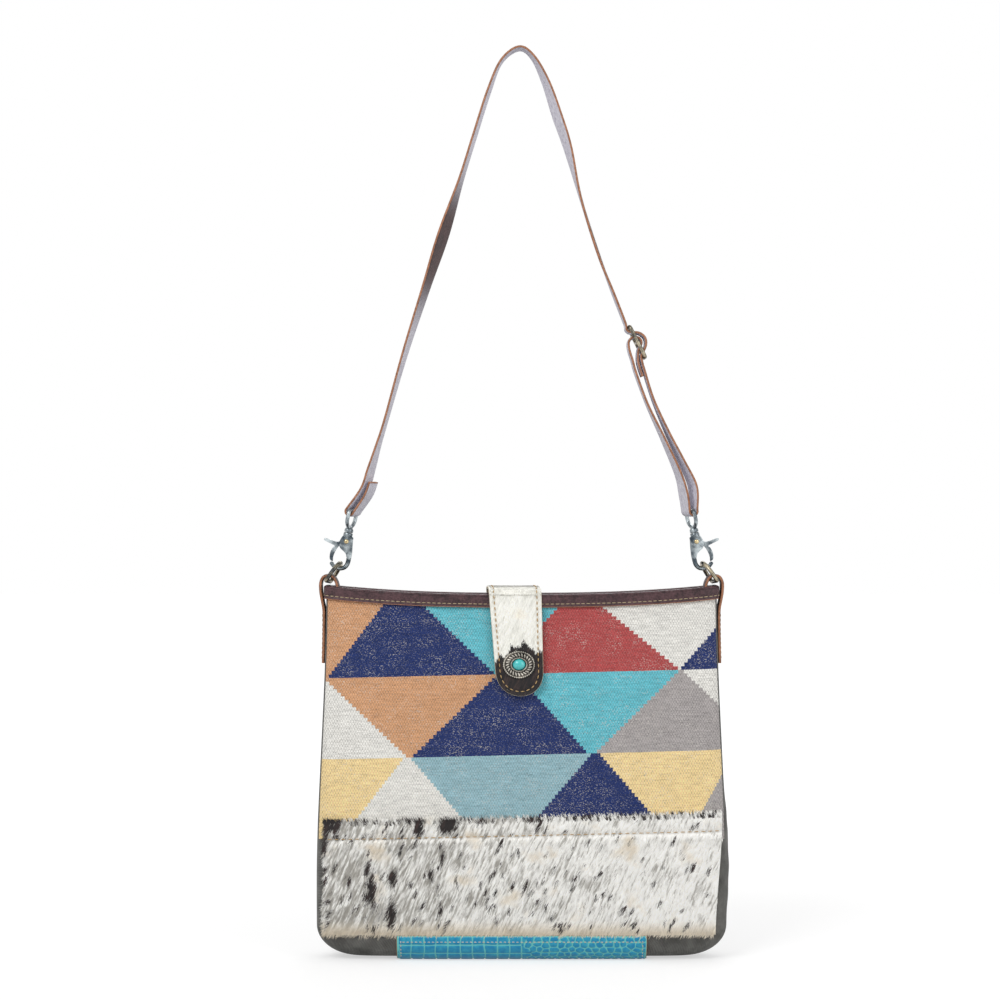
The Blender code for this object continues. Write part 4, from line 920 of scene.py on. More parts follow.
def patchSeams():
    # Along the patch's top edge and up both its ends, at front and back
    end, top = patch["half"] - patch["seamIn"], patch["top"] - bag["base"]
    level = (np.linspace(-98 * mm, 98 * mm, 90), np.full(90, top - patch["seamDown"]))
    upright = np.linspace(2.5 * mm, top - patch["seamIn"], 20)
    for label, side in (("Front", -1), ("Back", 1)):
        rows = {"patchSeam" + label: level, f"patchEnd{label}Left": (np.full(20, -end), upright),
                f"patchEnd{label}Right": (np.full(20, end), upright)}
        for name, (x, heights) in rows.items():
            points, out = faceLine(x, heights, bag["gap"] + patch["wall"], side)
            stitches(name, points, out, patch["pitch"], patch["stitch"], "bag", patch["lift"])


patchPiece()
patchSeams()
print("base patch made")

# The hooks' frames, the D-rings and the leather tabs
fittings = {
    "hookX": 142.7 * mm, "hookZ": 349 * mm, "tilt": math.radians(12), "eyeYaw": math.radians(12), "foldTwist": 15,
    "eyeBar": 18.1 * mm, "eyeHalf": 10.5 * mm, "eyeWire": 1.6 * mm, "eyeCorner": 2.6 * mm, "ringHalf": 10 * mm,
    "ringWire": 1.7 * mm, "ringCorner": 2.2 * mm, "ringYaw": math.radians(7), "ringTop": (1.2 * mm, 25.7 * mm),
    "ringBarZ": 309.1 * mm, "ringHeight": 18.1 * mm, "clawWire": 1.75 * mm, "rivetDown": 7.4 * mm,
    # Outlines as (away from the hook's back, down from its collar), and the turned parts as (radius, up), in mm
    "claw": [(-3.0, 9.0), (-3.6, 12.0), (-4.3, 15.5), (-4.65, 19.0), (-4.65, 23.5), (-4.1, 26.5), (-2.3, 29.0),
             (0.8, 30.3), (4.2, 30.1), (6.6, 29.1), (8.2, 27.7)],
    "cheek": [(-4.3, 2.9), (-0.5, 2.6), (3.3, 2.9), (4.7, 5.2), (5.5, 8.2), (5.3, 11.2), (3.7, 13.8), (0.9, 15.6),
              (-1.5, 17.4), (-2.7, 20.0), (-4.6, 22.0), (-6.3, 20.0), (-6.3, 16.0), (-5.7, 11.0), (-5.0, 6.5)],
    "gate": [(-2.2, 7.4), (-1.5, 9.0), (0.3, 9.7), (2.6, 9.9), (5.2, 12.2), (6.9, 15.6), (7.9, 19.5), (8.2, 22.6),
             (7.9, 25.5), (10.4, 24.6), (11.3, 21.0), (11.1, 17.6), (10.1, 14.6), (9.0, 12.9), (12.5, 11.7),
             (17.6, 10.4), (18.5, 9.3), (17.4, 8.1), (11.5, 9.0), (7.0, 9.0), (3.6, 6.6), (0.6, 5.3), (-1.4, 5.8)],
    "collar": [(0, 0), (3.0, 0), (3.55, -0.2), (3.8, -0.7), (3.8, -3.0), (3.5, -3.5), (3.1, -3.9), (0, -4.2)],
    "rivet": [(0, 4.3), (0.8, 4.22), (1.45, 3.98), (1.85, 3.7), (1.9, 3.6), (1.05, 3.6), (1.05, -3.6), (1.9, -3.6),
              (1.85, -3.7), (1.45, -3.98), (0.8, -4.22), (0, -4.3)],
    "pin": [(0, 5.6), (1.2, 5.5), (2.0, 5.0), (2.6, 4.0), (3.4, 2.9), (3.6, 2.3), (3.6, 0.6), (3.4, 0.3),
            (1.45, 0.3), (1.45, -2.9), (2.3, -2.9), (2.3, -4.0), (0, -4.0)],
    # The claw's tip in shares of its wire, and the eye's neck as (share of its half width, up in mm)
    "tip": [(0, 1), (0.7, 0.75), (0.97, 0.3), (1, 0), (0.9, -0.4), (0, -1)],
    "eyeNeck": [(1, 11.5), (0.93, 8.9), (0.7, 6.6), (0.36, 4.8), (0.1, 3.9)],
}
sides = [(-1, "left", "Left"), (1, "right", "Right")]


def hookFrame(side):  # from a hook's own place to the bag's
    place = Matrix.Translation((side * fittings["hookX"], 0, fittings["hookZ"]))
    return place @ Matrix.Rotation(-side * fittings["tilt"], 4, "Y") @ Matrix.Rotation(math.pi * (side < 0), 4, "Z")


def ringSpots(side):  # where a ring's top and its bar lie
    across, down = fittings["ringTop"]
    top = hookFrame(side) @ Vector((across, 0, -down))
    drop = top.z - fittings["ringBarZ"]
    return top, Vector((top.x + side * math.sqrt(fittings["ringHeight"] ** 2 - drop**2), 0, fittings["ringBarZ"]))


def ringPiece(side, node, label):
    # A D of round wire: a half circle over straight sides and a bar with rounded corners
    half, corner = fittings["ringHalf"] + fittings["ringWire"], fittings["ringCorner"]
    straight = fittings["ringHeight"] - half
    arc = [(0, half * math.cos(a), straight + half * math.sin(a)) for a in np.linspace(0, math.pi, 40)]
    bends = np.linspace(0, math.pi / 2, 6)
    left = [(0, -half + corner - corner * math.cos(a), corner - corner * math.sin(a)) for a in bends]
    right = [(0, half - corner + corner * math.sin(a), corner - corner * math.cos(a)) for a in bends]
    shape = tube(np.array([*left, *right, *arc[:-1]]), fittings["ringWire"], 18, True, across=(1, 0, 0))
    top, bar = ringSpots(side)
    up = top - bar
    place = Matrix.Translation(bar) @ Matrix.Rotation(math.atan2(up.x, up.z), 4, "Y")
    place = place @ Matrix.Rotation(side * fittings["ringYaw"], 4, "Z")
    dress(newPiece("dRing" + label, *placed(shape, place), ringMetal), "ring_" + node, "d_ring_" + node)


def roundedBox(low, high, edge):
    # A box with every corner rounded, in mm: a ball's points, turned as a lathe's, pushed apart to the box's corners
    low, high = np.array(low) * mm, np.array(high) * mm
    b = np.linspace(0, np.pi, 13)
    ball, faces = lathe(np.stack([np.sin(b), np.cos(b)], 1), 24)
    spread = np.sign(np.round(ball, 6))
    return (low + high) / 2 + ball * edge + spread * ((high - low) / 2 - edge), faces


def plate(outline, thick, edge):
    # A flat plate of a smooth closed outline, its edge rounded: the outline drawn in by edge*(1-cos) at each level
    line = smoothRoute([(a * mm, b * mm, 0) for a, b in outline], 0.55 * mm, True)[:, :2]
    ahead = unit(np.roll(line, -1, 0) - np.roll(line, 1, 0))
    inward = np.stack([-ahead[:, 1], ahead[:, 0]], 1)
    area = np.sum(line[:, 0] * np.roll(line[:, 1], -1) - np.roll(line[:, 0], -1) * line[:, 1])
    inward *= np.sign(area)
    rings = []
    for sign, turn in [(-1, a) for a in (90, 60, 30, 0)] + [(1, a) for a in (0, 30, 60, 90)]:
        flat = line + inward * edge * (1 - math.cos(math.radians(turn)))
        level = sign * (thick / 2 - edge + edge * math.sin(math.radians(turn)))
        rings.append(np.column_stack([flat[:, 0], np.full(len(flat), level), -flat[:, 1]]))
    count = len(line)
    faces = gridFaces(len(rings), count, True).tolist()
    faces += [list(range(count))[::-1], [(len(rings) - 1) * count + k for k in range(count)]]
    return np.concatenate(rings), faces


def turned(name, sides, size=mm):  # a turned part of the fittings
    return lathe(np.array(fittings[name]) * size, sides)


def coat(node, material):  # a hidden CAD node keeps its mesh and takes a finish
    nodes[node].data.materials.clear()
    nodes[node].data.materials.append(material)


def hookBody(side, node, label):
    # Collar, two cheek plates, the spine and the top between them, and the claw with its round tip
    cheek = plate(fittings["cheek"], 1.9 * mm, 0.6 * mm)
    cheeks = [placed(cheek, Matrix.Translation((0, y * mm, 0))) for y in (-2.4, 2.4)]
    spine = roundedBox((-4.9, -3.3, -16), (-2.7, 3.3, -3), 0.8 * mm)
    top = roundedBox((-4.6, -3.2, -5.4), (3.4, 3.2, -3), 0.8 * mm)
    line = smoothRoute([(a * mm, 0, -b * mm) for a, b in fittings["claw"]], 0.6 * mm)
    share = np.linspace(0, 1, len(line))
    claw = tube(line, fittings["clawWire"] * (1.12 - 0.22 * eased(share * 1.6 - 0.6)), 18)
    tip = placed(turned("tip", 16, fittings["clawWire"]), Matrix.Translation(line[-1]))
    shape = placed(joined(turned("collar", 40), *cheeks, spine, top, claw, tip), hookFrame(side))
    dress(newPiece("hookBody" + label, *shape, gunmetal), "hook_" + node, "hook_body_" + node)


def gatePieces(side, node, label):
    gate = newPiece("gate" + label, *placed(plate(fittings["gate"], 2.4 * mm, 0.5 * mm), hookFrame(side)), gunmetal)
    sharpen(gate, 50)
    dress(gate, "gate_" + node, "gate_" + node)
    turn = Matrix.Translation((0, 0, -fittings["rivetDown"])) @ Matrix.Rotation(math.pi / 2, 4, "X")
    rivet = newPiece("gateRivet" + label, *placed(turned("rivet", 24), hookFrame(side) @ turn), brass)
    sharpen(rivet, 50)
    dress(rivet, "hook_" + node, "gate_rivet_" + node)
    coat("gate_spring_" + node, gunmetal)


def eyePiece(side, node, label):
    # A wire loop with a straight bar for the strap, drawn in to the swivel pin
    half, bar, corner = fittings["eyeHalf"] + fittings["eyeWire"], fittings["eyeBar"], fittings["eyeCorner"]
    bends = np.linspace(0, math.pi / 2, 6)
    right = [(0, half - corner + corner * math.sin(a), bar - corner + corner * math.cos(a)) for a in bends]
    right += [(0, half * share, up * mm) for share, up in fittings["eyeNeck"]]
    route = [*right, *[(0, -y, z) for _, y, z in reversed(right)]]
    loop = tube(smoothRoute(route, 0.8 * mm, True), fittings["eyeWire"], 16, True, across=(1, 0, 0))
    place = hookFrame(side) @ Matrix.Rotation(side * fittings["eyeYaw"], 4, "Z")
    piece = newPiece("swivelEye" + label, *placed(joined(loop, turned("pin", 32)), place), gunmetal)
    sharpen(piece, 55)
    dress(piece, "strap", "swivel_eye_" + node)


for side, node, label in sides:
    ringPiece(side, node, label)
    hookBody(side, node, label)
    gatePieces(side, node, label)
    eyePiece(side, node, label)
print("fittings made")


# Leather strips
def strip(name, centres, across, values, pale=0.0, backSheen=0.0):
    # A strip along a route: its outline is a flat bar with rounded edges, w = cos(a)^0.28 and t = sin(a)^0.45
    sides, count = 28, len(centres)
    thick = unit(np.cross(unit(np.gradient(centres, axis=0)), across))
    a = np.linspace(0, 2 * np.pi, sides, endpoint=False)
    w = np.sign(np.cos(a)) * np.abs(np.cos(a)) ** 0.28
    t = np.sign(np.sin(a)) * np.abs(np.sin(a)) ** 0.45
    wide, deep = w[None, :, None] * values["half"], t[None, :, None] * values["wall"] / 2
    rings = centres[:, None] + wide * across[:, None] + deep * thick[:, None]
    faces = gridFaces(count, sides, True).tolist()
    faces += [list(range(sides))[::-1], [(count - 1) * sides + k for k in range(sides)]]
    raw = np.tile((np.abs(w) > 0.93) & (np.abs(t) < 0.8), (count, 1)).astype(float)
    raw[[0, -1]] = 1
    # pale and the back share say how much painted pale reflection covers the inner and the outer face
    inner, outer = (np.broadcast_to(side, count)[:, None] for side in (pale, backSheen))
    paintedSheen = inner * (t < -0.7) + outer * (t > 0.7)
    piece = newPiece(name, rings.reshape(-1, 3), faces, leather, {"raw": raw.ravel(), "paintedSheen": paintedSheen.ravel()})
    sharpen(piece)
    return piece


loopTab = {
    "half": 9.3 * mm, "wall": 2.6 * mm, "stitchY": 6.6 * mm, "pitch": 3.6 * mm, "stitch": (1.15 * mm, 0.35 * mm, 0.35 * mm),
    # X and Z in mm: the outer limb, over the ring's bar from its X, and the limb inside the bag
    "outer": [(163.0, 242), (162.6, 262), (162.4, 276), (162.6, 286), (163.8, 293), (165.0, 300), (165.2, 307.6)],
    "over": [(3.8, 312.42), (1, 313.62), (-2, 313.62), (-5, 312.02)],
    "inner": [(151.67, 306.1), (151.67, 298), (151.17, 262)],
}


def loopTabPiece(side, node, label):
    # A strip over the ring's bar with two rows of stitches on its outer limb
    ringX = abs(ringSpots(side)[1].x) / mm
    route = [*loopTab["outer"], *[(ringX + right, up) for right, up in loopTab["over"]], *loopTab["inner"]]
    line = smoothRoute([(side * a * mm, 0, b * mm) for a, b in route], 1.4 * mm)
    across = np.tile([0.0, 1.0, 0.0], (len(line), 1))
    dress(strip("loopTab" + label, line, across, loopTab), "bag", "loop_tab_" + node)
    outerX, outerZ = np.array(loopTab["outer"]).T * mm
    z = np.linspace(245 * mm, 283 * mm, 24)
    x = side * (np.interp(z, outerZ, outerX) + loopTab["wall"] / 2)
    for name, edge in (("Front", -1), ("Back", 1)):
        points = np.stack([x, np.full(24, edge * loopTab["stitchY"]), z], 1)
        out = np.tile([side * 1.0, 0, 0], (24, 1))
        stitches(f"tabStitch{label}{name}", points, out, loopTab["pitch"], loopTab["stitch"], "bag")


# The strap's places are (X, Z, twist in degrees) in mm, and those near the slider are (right, up) from its middle
strap = {
    "half": 10 * mm, "wall": 2.3 * mm, "darkAt": 586, "darkHalf": 52, "foldedBelow": (-110, 402), "eyeFold": 9,
    "sliderMiddle": (95.15, 506), "sliderLean": math.radians(26.9), "sliderHalf": 12.1 * mm, "sliderTall": 14 * mm,
    "sliderCorner": 3.2 * mm, "sliderWire": 1.55 * mm, "barWire": 1.4 * mm,
    "leftEnd": [(-122.2, 390.8, 17), (-126.4, 379.6, 17)],
    "leftLimb": [(-129.3, 385.5, 17), (-124.0, 401.5, 15), (-118.2, 421.0, 8), (-111.5, 443.0, 5), (-96.5, 495.8, 9),
                 (-78.8, 551.1, 16), (-64.5, 595.0, 25), (-50.2, 639.4, 8), (-38.5, 677.0, 6), (-26.8, 713.6, 5),
                 (-16.5, 738.0, 0), (-2.0, 748.6, 0), (9.5, 741.2, -4), (20.2, 720.4, -14), (29.5, 693.0, -20),
                 (38.4, 666.1, -15), (49.1, 624.1, 2), (63.9, 577.5, 6), (76.0, 545.5, 0)],
    "throughSlider": [(-1.9, 17.2), (-3.4, 13.6), (-2.4, 10.4), (0.8, 8.4), (4.4, 6.2), (6.8, 2.4), (7.0, -1.6),
                      (5.0, -5.6), (1.4, -8.8), (-2.2, -11.4), (-3.5, -14.6), (-4.6, -19.0)],
    "rightLimb": [(100.9, 483.0, 0), (108.4, 459.1, 0), (119.8, 432.6, -6), (131.6, 408.6, -12), (141.2, 387.5, -17)],
    "loopBack": [(133.9, 380.0, -17), (129.6, 397.0, -12), (116.8, 426.6, -6), (103.6, 455.0, 0), (94.0, 481.0, 0)],
    "roundBar": [(-10.4, -12.0), (-8.9, -3.2), (-6.6, 2.8), (-3.0, 5.0), (0.4, 4.2), (2.9, 2.0), (3.3, -0.6),
                 (2.1, -3.1), (-0.6, -4.8), (-3.6, -8.4), (-6.6, -14.2), (-8.0, -20.0), (-9.0, -27.0)],
}


def sliderSpots(name):  # the strap's places near the slider, turned with it
    cosine, sine = math.cos(strap["sliderLean"]), math.sin(strap["sliderLean"])
    x, z = strap["sliderMiddle"]
    return [(x + right * cosine - up * sine, z + right * sine + up * cosine, 0) for right, up in strap[name]]


def foldRound(side, start, end):
    # An arc round the eye's bar
    bar = hookFrame(side) @ Vector((0, 0, fittings["eyeBar"]))
    radius = (fittings["eyeWire"] + 2 * bag["gap"] + strap["wall"] / 2) / mm
    twist = -side * fittings["foldTwist"]
    return [(bar.x / mm + radius * math.cos(a), bar.z / mm + radius * math.sin(a), twist)
            for a in np.radians(np.linspace(start, end, strap["eyeFold"]))]


def strapPiece():
    # From the left end's tail round the left eye, up and over, through the slider, round the right eye and back
    route = [*strap["leftEnd"], *foldRound(-1, -15, -200), *strap["leftLimb"], *sliderSpots("throughSlider"),
             *strap["rightLimb"], *foldRound(1, 20, -190), *strap["loopBack"], *sliderSpots("roundBar")]
    x, z, _, twist = smoothRoute([(x, z, 0, twist) for x, z, twist in route], 1.8).T
    twist = np.radians(twist)
    across = np.stack([np.sin(twist), np.cos(twist), 0 * twist], 1)
    # The side towards the loop gets a painted pale reflection but for a dark length at the left, and the folded ends
    # get it outside too
    inside = 1 - np.where(x < 0, np.exp(-(((z - strap["darkAt"]) / strap["darkHalf"]) ** 2)) ** 0.8, 0)
    lowest = int(np.argmin(np.where(x > 0, z, strap["sliderMiddle"][1])))
    foldX, foldZ = strap["foldedBelow"]
    folded = ((x < foldX) & (z < foldZ)) | (np.arange(len(x)) > lowest - 6)
    piece = strip("strapLeather", np.stack([x, 0 * x, z], 1) * mm, across, strap, inside, folded * 1.0)
    dress(piece, "strap", "strap")


def sliderPiece():
    # The frame is a rounded oblong of round wire with a bar across
    half, step, corner = strap["sliderHalf"], strap["sliderTall"], strap["sliderCorner"]
    bends = np.linspace(0, math.pi / 2, 7)
    quarter = [(half - corner + corner * math.sin(a), step - corner + corner * math.cos(a)) for a in bends]
    outline = [*quarter, *[(y, -z) for y, z in reversed(quarter)], *[(-y, -z) for y, z in quarter],
               *[(-y, z) for y, z in reversed(quarter)]]
    line = smoothRoute([(0, y, z) for y, z in outline], 1.2 * mm, True)
    wire = tube(line, strap["sliderWire"], 16, True, across=(1, 0, 0))
    barLine = np.array([(0, y, 0) for y in np.linspace(-half, half, 12)])
    bar = tube(barLine, strap["barWire"], 16, across=(1, 0, 0))
    x, z = strap["sliderMiddle"]
    place = Matrix.Translation((x * mm, 0, z * mm)) @ Matrix.Rotation(-strap["sliderLean"], 4, "Y")
    dress(newPiece("strapSlider", *placed(joined(wire, bar), place), ringMetal), "strap", "slider")


for side, node, label in sides:
    loopTabPiece(side, node, label)
strapPiece()
sliderPiece()
print("strap made")

# The closure tab with its hair, stitches, concho and stone
tab = {
    "half": 21.2 * mm, "taper": 0.03, "wall": 2.5 * mm, "lean": 0.053, "topX": -5.5 * mm, "endZ": 216.3 * mm,
    "rootZ": 289 * mm, "topZ": 303.4 * mm, "round": 22 * mm, "roundPower": 2.6, "face": 21.85 * mm,
    "slope": 0.04639, "bend": 299 * mm, "sewnTo": 262 * mm, "splitZ": 296 * mm, "pressed": 0.6 * mm,
    "hairCount": 12000, "hairLength": 3.2 * mm, "hairWidth": 0.42 * mm, "inset": 3.6 * mm, "pitch": 4.6 * mm,
    # The dark tip's upper edge: X and Z in mm
    "darkEdge": [(-27, 244), (-22, 245), (-9, 257), (2, 262), (13, 253), (18, 251)],
}


def tabX(z):  # the middle line leans to the right on its way down
    return tab["topX"] + (tab["topZ"] - z) * tab["lean"]


def tabHalf(y, z):  # narrower towards the tip
    return tab["half"] - tab["taper"] * np.where(y < 0, np.maximum(tab["bend"] - z, 0), 0)


def tabGrid(route, rounded):
    # The tab along a route of (y, z): x = middle + share * half width, rounded at its tip
    line = smoothRoute([(y, z, 0) for y, z in route], 1.1 * mm)
    run = lengthAlong(line)
    tip = np.clip(1 - run / tab["round"], 0, 1) * rounded
    roundness = np.maximum(np.sqrt(1 - tip ** tab["roundPower"]), 0.12)
    halfWidth = tabHalf(line[:, 0], line[:, 1]) * roundness
    along = unit(np.gradient(line, axis=0))
    share = np.sin(np.linspace(-1, 1, 46) * math.pi / 2)
    grids = []
    for push in (tab["wall"] / 2, -tab["wall"] / 2):
        y = line[:, 0] - along[:, 1] * push
        z = line[:, 1] + along[:, 0] * push
        middle = tabX(z) - np.maximum(line[:, 0] + tab["face"], 0) * tab["lean"]
        x = middle[:, None] + halfWidth[:, None] * share
        grids.append(np.stack(np.broadcast_arrays(x, y[:, None], z[:, None]), -1))
    return grids, line, halfWidth, run, share


def tabDark(points):
    # Black below a ragged line that is highest near the middle, on the front alone
    x, z = points[..., 0], points[..., 2]
    ragged = 10 * mm * (waves(x + 0.35 * z, z * 0.12, (9 * mm, 4.5 * mm, 2.4 * mm), 71) - 0.5)
    line = np.interp(x, *(np.array(tab["darkEdge"]).T * mm))
    front = points[..., 1] < -15 * mm
    return np.where(front, np.clip(0.5 - (z - line - ragged) / (5 * mm), 0, 1), 0.0)


def closureTab():
    # Up the front, over the mouth and down to the split at the back, pressed in along its seam
    face, top, bend = tab["face"], tab["topZ"], tab["bend"]
    endY = face + tab["slope"] * (tab["rootZ"] - tab["endZ"])
    route = [(-endY, tab["endZ"]), (-face - 0.3 * mm, tab["rootZ"]), (-face, bend), (-face + 2.2 * mm, top - 1.6 * mm),
             (-face + 7 * mm, top), (0, top + 0.4 * mm), (face - 7 * mm, top), (face - 2.2 * mm, top - 1.6 * mm),
             (face, bend), (face, tab["splitZ"])]
    grids, line, halfWidth, run, share = tabGrid(route, True)
    margin = np.minimum(halfWidth[:, None] * (1 - np.abs(share)), run[:, None] * 0.9)
    press = tab["pressed"] * np.exp(-(((margin - tab["inset"]) / (1.2 * mm)) ** 2))
    grids[0][..., 1] -= press * np.where(grids[0][..., 1] < 0, -1, 1)
    dark = tabDark(grids[0])
    fields = {"dark": dark * 0.9, "strand": np.full(dark.shape, 0.3)}
    piece = wall("closureFlap", *grids, tabHair, attributes=fields, lining=rawHide)
    dress(piece, "closure", "closure_tab")
    return grids[0], line, run


flapGrid, flapLine, flapRun = closureTab()


def flapFur():
    # Short hair over the flap's middle, leaning towards its tip
    draw, count = np.random.default_rng(8), tab["hairCount"]
    u, v = draw.uniform(0.1, 0.9, count), draw.uniform(0.05, 0.97, count)
    roots, out = onGrid(flapGrid, u, v)
    sameSide = np.where((roots[:, 1] < 0) == (out[:, 1] < 0), 1.0, -1.0)
    out = out * np.where(np.abs(out[:, 2]) > 0.7, np.sign(out[:, 2]), sameSide)[:, None]
    c, r = (u * (flapGrid.shape[1] - 1)).astype(int), (v * (flapGrid.shape[0] - 1)).astype(int)
    down = -unit(np.gradient(flapGrid, axis=0)[r, c])
    astray = draw.normal(0, 0.22, count)[:, None]
    lean = unit(down + astray * unit(np.cross(down, out)))
    fields = {"dark": tabDark(roots), "strand": draw.uniform(0, 1, count)}
    reach, rise = tab["hairLength"] * draw.uniform(0.7, 1.2, count), 0.07 * draw.uniform(0.5, 1.4, count)
    dress(hairs("flapFur", roots, out, lean, reach, tab["hairWidth"], rise, tabHair, fields), "closure")


def tabRoot():
    # The sewn end on the back, which bends where the flap lifts
    face = tab["face"]
    route = [(20.15 * mm, tab["sewnTo"]), (20.4 * mm, 272 * mm), (21.0 * mm, 279.5 * mm),
             (face, tab["rootZ"] - 2 * mm), (face, tab["rootZ"] + 3 * mm), (face, tab["splitZ"] + 0.4 * mm)]
    grids = tabGrid(route, False)[0]
    flat = grids[0][..., 0] * 0
    piece = wall("closureRoot", *grids, tabHair, attributes={"dark": flat, "strand": flat + 0.4})
    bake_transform(piece)


def tabEdge(inset, push):
    # Along the flap's edge at an inset, round the tip and back: half = (half width - inset) * sqrt(1 - tip^2.6)
    bend = 18 * mm
    climb = np.concatenate([np.linspace(flapRun[-1] - 3 * mm, inset + bend, 70),
                            inset + bend * np.linspace(1, 0, 34)[1:] ** 2])
    tip = np.clip(1 - (climb - inset) / (tab["round"] - inset), 0, 1)
    middle = (flapGrid[:, 0] + flapGrid[:, -1]) / 2
    normal = np.stack([0 * flapRun, -np.gradient(flapLine[:, 1]), np.gradient(flapLine[:, 0])], 1)
    centre, out = (np.stack([np.interp(climb, flapRun, values) for values in line.T], 1) for line in (middle, normal))
    out = unit(out)
    half = (tabHalf(centre[:, 1], centre[:, 2]) - inset) * np.sqrt(1 - tip ** tab["roundPower"])
    aside = np.stack([half, 0 * half, 0 * half], 1)
    points = np.concatenate([centre - aside, (centre + aside)[-2::-1]])
    out = np.concatenate([out, out[-2::-1]])
    return points + out * push, out


def tabTrim():
    points, out = tabEdge(tab["inset"], 0)
    stitches("flapStitches", points, out, tab["pitch"], (1.6 * mm, 0.45 * mm, 0.42 * mm), "closure",
             0.3 * mm, tanThread)
    points = tabEdge(0.5 * mm, -tab["wall"] / 2)[0]
    dress(newPiece("flapEdge", *tube(evenly(points, 1.2 * mm), 0.85 * mm, 10), rawHide), "closure")


flapFur()
tabRoot()
tabTrim()

concho = {
    "wide": 27 * mm, "tall": 23 * mm, "z": 241.7 * mm, "y": -22.854 * mm, "scallops": 22, "scallopDeep": 0.05,
    "stone": (10.5 * mm, 9 * mm),
    # Profiles as (share of the oval's width, height in mm)
    "dish": [(0, 0.6), (0.19, 0.6), (0.205, 0.9), (0.212, 1.9), (0.235, 2.05), (0.26, 1.7), (0.275, 1.15),
             (0.32, 0.95), (0.37, 1.25), (0.40, 1.3), (0.425, 1.0), (0.445, 0.8), (0.47, 0.9), (0.49, 0.7),
             (0.5, 0.35), (0.495, 0), (0, 0)],
    "dome": [(0, 3.4), (0.12, 3.32), (0.24, 3.05), (0.35, 2.6), (0.43, 2.0), (0.48, 1.4), (0.5, 0.9), (0, 0.9)],
    # Rings of silver eggs: count, shares of the width and height, rise, turn from outward, half sizes, sides and rings
    "rings": {
        "conchoBeads": (44, 0.457, 0.455, 1.05 * mm, math.pi / 2, (0.85 * mm, 0.75 * mm, 0.8 * mm), (10, 6)),
        "conchoRays": (24, 0.345, 0.345, 1.15 * mm, 0.45, (1.8 * mm, 0.75 * mm, 0.7 * mm), (8, 6)),
        "conchoCollar": (30, 0.236, 0.236, 1.75 * mm, 0.9, (0.95 * mm, 0.45 * mm, 0.6 * mm), (8, 6)),
    },
}


def conchoPieces():
    # An oval dish with a scalloped rim, rings of beads, leaves and rope on it, and the stone in its cup
    wide, tall = concho["wide"], concho["tall"]
    place = Matrix.Translation((tabX(concho["z"]), concho["y"], concho["z"]))
    place = place @ Matrix.Rotation(math.pi / 2 - math.atan(tab["slope"]), 4, "X")
    place = place @ Matrix.Translation((0, 0, tab["wall"] + bag["gap"]))
    points, faces = lathe(np.array(concho["dish"]) * [1, mm], 132, wide, tall)
    turn = np.arctan2(points[:, 1] / tall, points[:, 0] / wide)
    rim = np.hypot(points[:, 0] / wide, points[:, 1] / tall) > 0.44
    wave = np.abs(np.sin(turn * concho["scallops"] / 2)) - 0.6
    points[:, :2] *= (1 + concho["scallopDeep"] * rim * wave)[:, None]
    dish = newPiece("conchoDish", *placed((points, faces), place), darkSilver)
    sharpen(dish)
    dress(dish, "closure", "concho")
    axes = np.array(place.to_3x3())
    for name, (count, across, up, rise, turn, size, kind) in concho["rings"].items():
        a = np.linspace(0, 2 * np.pi, count, endpoint=False)
        centres = np.stack([wide * across * np.cos(a), tall * up * np.sin(a), a * 0 + rise], 1)
        along = np.stack([np.cos(a + turn), np.sin(a + turn), a * 0], 1) @ axes.T
        out = np.tile(axes[:, 2], (count, 1))
        dress(scattered(name, placed((centres, []), place)[0], along, out, size, silver, kind), "closure")
    dome = lathe(np.array(concho["dome"]) * [1, mm], 56, *concho["stone"])
    stone = newPiece("stoneDome", *placed(dome, place), turquoise)
    sharpen(stone, 70)
    dress(stone, "closure", "stone")


conchoPieces()
coat("snap_stud", gunmetal)
coat("snap_socket", gunmetal)
print("closure made")

# Floor, light and camera
stageSet = {
    "worldLight": 0.6, "floorGlow": (0.55, 0.78), "glowFrom": (0.3, 2.0), "floorGrey": 0.5,
    "floor": [(-6, -4, 0), (6, -4, 0), (6, 8, 0), (-6, 8, 0)],
    # Each lamp's place, aim, size and power
    "lamps": {
        "keyLight": ((-0.9, -1.5, 1.5), (0, 0, 0.3), (1.0, 1.0), 18.0),
        "fillLight": ((1.3, -1.3, 0.9), (0, 0, 0.25), (0.9, 1.2), 8.5),
        "backLight": ((0.3, 1.4, 1.3), (0, 0, 0.4), (1.2, 0.8), 8.0),
    },
}


def rays(wire):  # 1 for the camera's rays, for mirrored ones and for those through glass
    return [wire.node("ShaderNodeLightPath", None, None, f"Is {kind} Ray")
            for kind in ("Camera", "Glossy", "Transmission")]


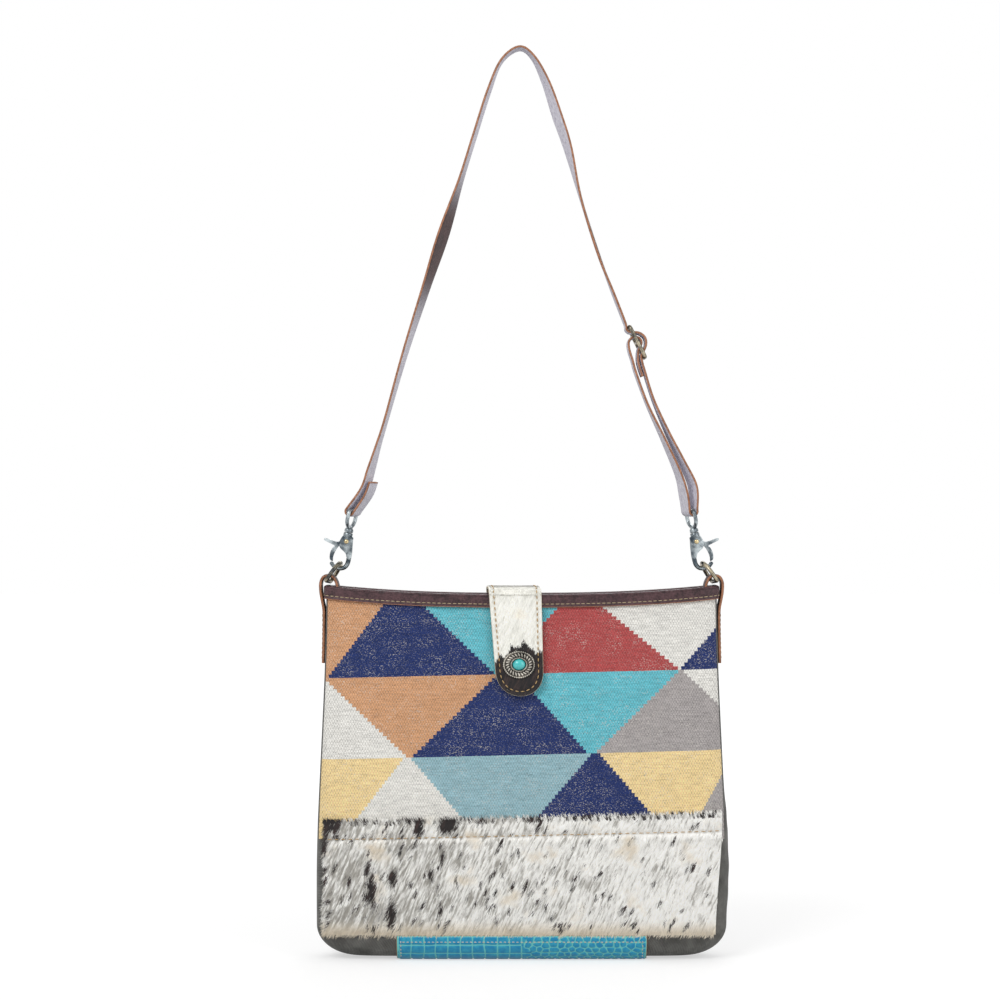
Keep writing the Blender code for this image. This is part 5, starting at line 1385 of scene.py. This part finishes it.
def stageFloor():
    # Grey to the lamps, and pale to whoever looks, paler far from the bag
    material = bpy.data.materials.new("paleFloor")
    material.use_nodes = True
    tree = material.node_tree
    tree.nodes.clear()
    wire = Wire(tree)
    seen, glossy, clear = rays(wire)
    showing = seen.maths("MAXIMUM", glossy).maths("MAXIMUM", clear)
    place = wire.node("ShaderNodeTexCoord", None, None, "Object")
    near, far = stageSet["floorGlow"]
    away = place.node("ShaderNodeVectorMath", {"operation": "LENGTH"}, {0: place}, "Value")
    strength = showing * (near + away.between(*stageSet["glowFrom"]) * (far - near))
    grey = (*[stageSet["floorGrey"]] * 3, 1)
    cloth = wire.node("ShaderNodeBsdfDiffuse", None, {"Color": grey})
    glow = wire.node("ShaderNodeEmission", None, {"Color": (1, 1, 1, 1), "Strength": strength})
    both = wire.node("ShaderNodeAddShader", None, {0: cloth, 1: glow})
    end = tree.nodes.new("ShaderNodeOutputMaterial")
    tree.links.new(both.socket, end.inputs["Surface"])
    newPiece("paleFloor", stageSet["floor"], [[0, 1, 2, 3]], material, turnOut=False)


def areaLight(name, place, target, size, power):
    data = bpy.data.lights.new(name, "AREA")
    data.shape = "RECTANGLE"
    data.size, data.size_y = size
    data.energy = power
    light = bpy.data.objects.new(name, data)
    light.location = place
    light.rotation_euler = (Vector(target) - Vector(place)).to_track_quat("-Z", "Y").to_euler()
    bpy.context.scene.collection.objects.link(light)


def worldLight():
    # A soft even light, white to the camera
    world = bpy.data.worlds.new("paleStudio")
    world.use_nodes = True
    bpy.context.scene.world = world
    tree = world.node_tree
    back = tree.nodes["Background"]
    seen, glossy, clear = rays(Wire(tree))
    showing = seen.maths("MAXIMUM", clear)
    strength = stageSet["worldLight"] + showing * (1 - stageSet["worldLight"]) + glossy * 0.1
    back.inputs["Color"].default_value = (1, 1, 1, 1)
    tree.links.new(strength.socket, back.inputs["Strength"])


stageFloor()
worldLight()
for name, lamp in stageSet["lamps"].items():
    areaLight(name, *lamp)

camera = {"from": (-17.7 * mm, -2.1, 376 * mm), "frameWide": 825 * mm, "sensor": 36}
lens = bpy.data.cameras.new("camera")
lens.sensor_width = camera["sensor"]
lens.lens = camera["sensor"] * abs(camera["from"][1]) / camera["frameWide"]
eye = bpy.data.objects.new("camera", lens)
eye.location = camera["from"]
eye.rotation_euler = (math.pi / 2, 0, 0)
bpy.context.scene.collection.objects.link(eye)
bpy.context.scene.camera = eye
bpy.context.scene.view_settings.view_transform = "Standard"
print("stage set")
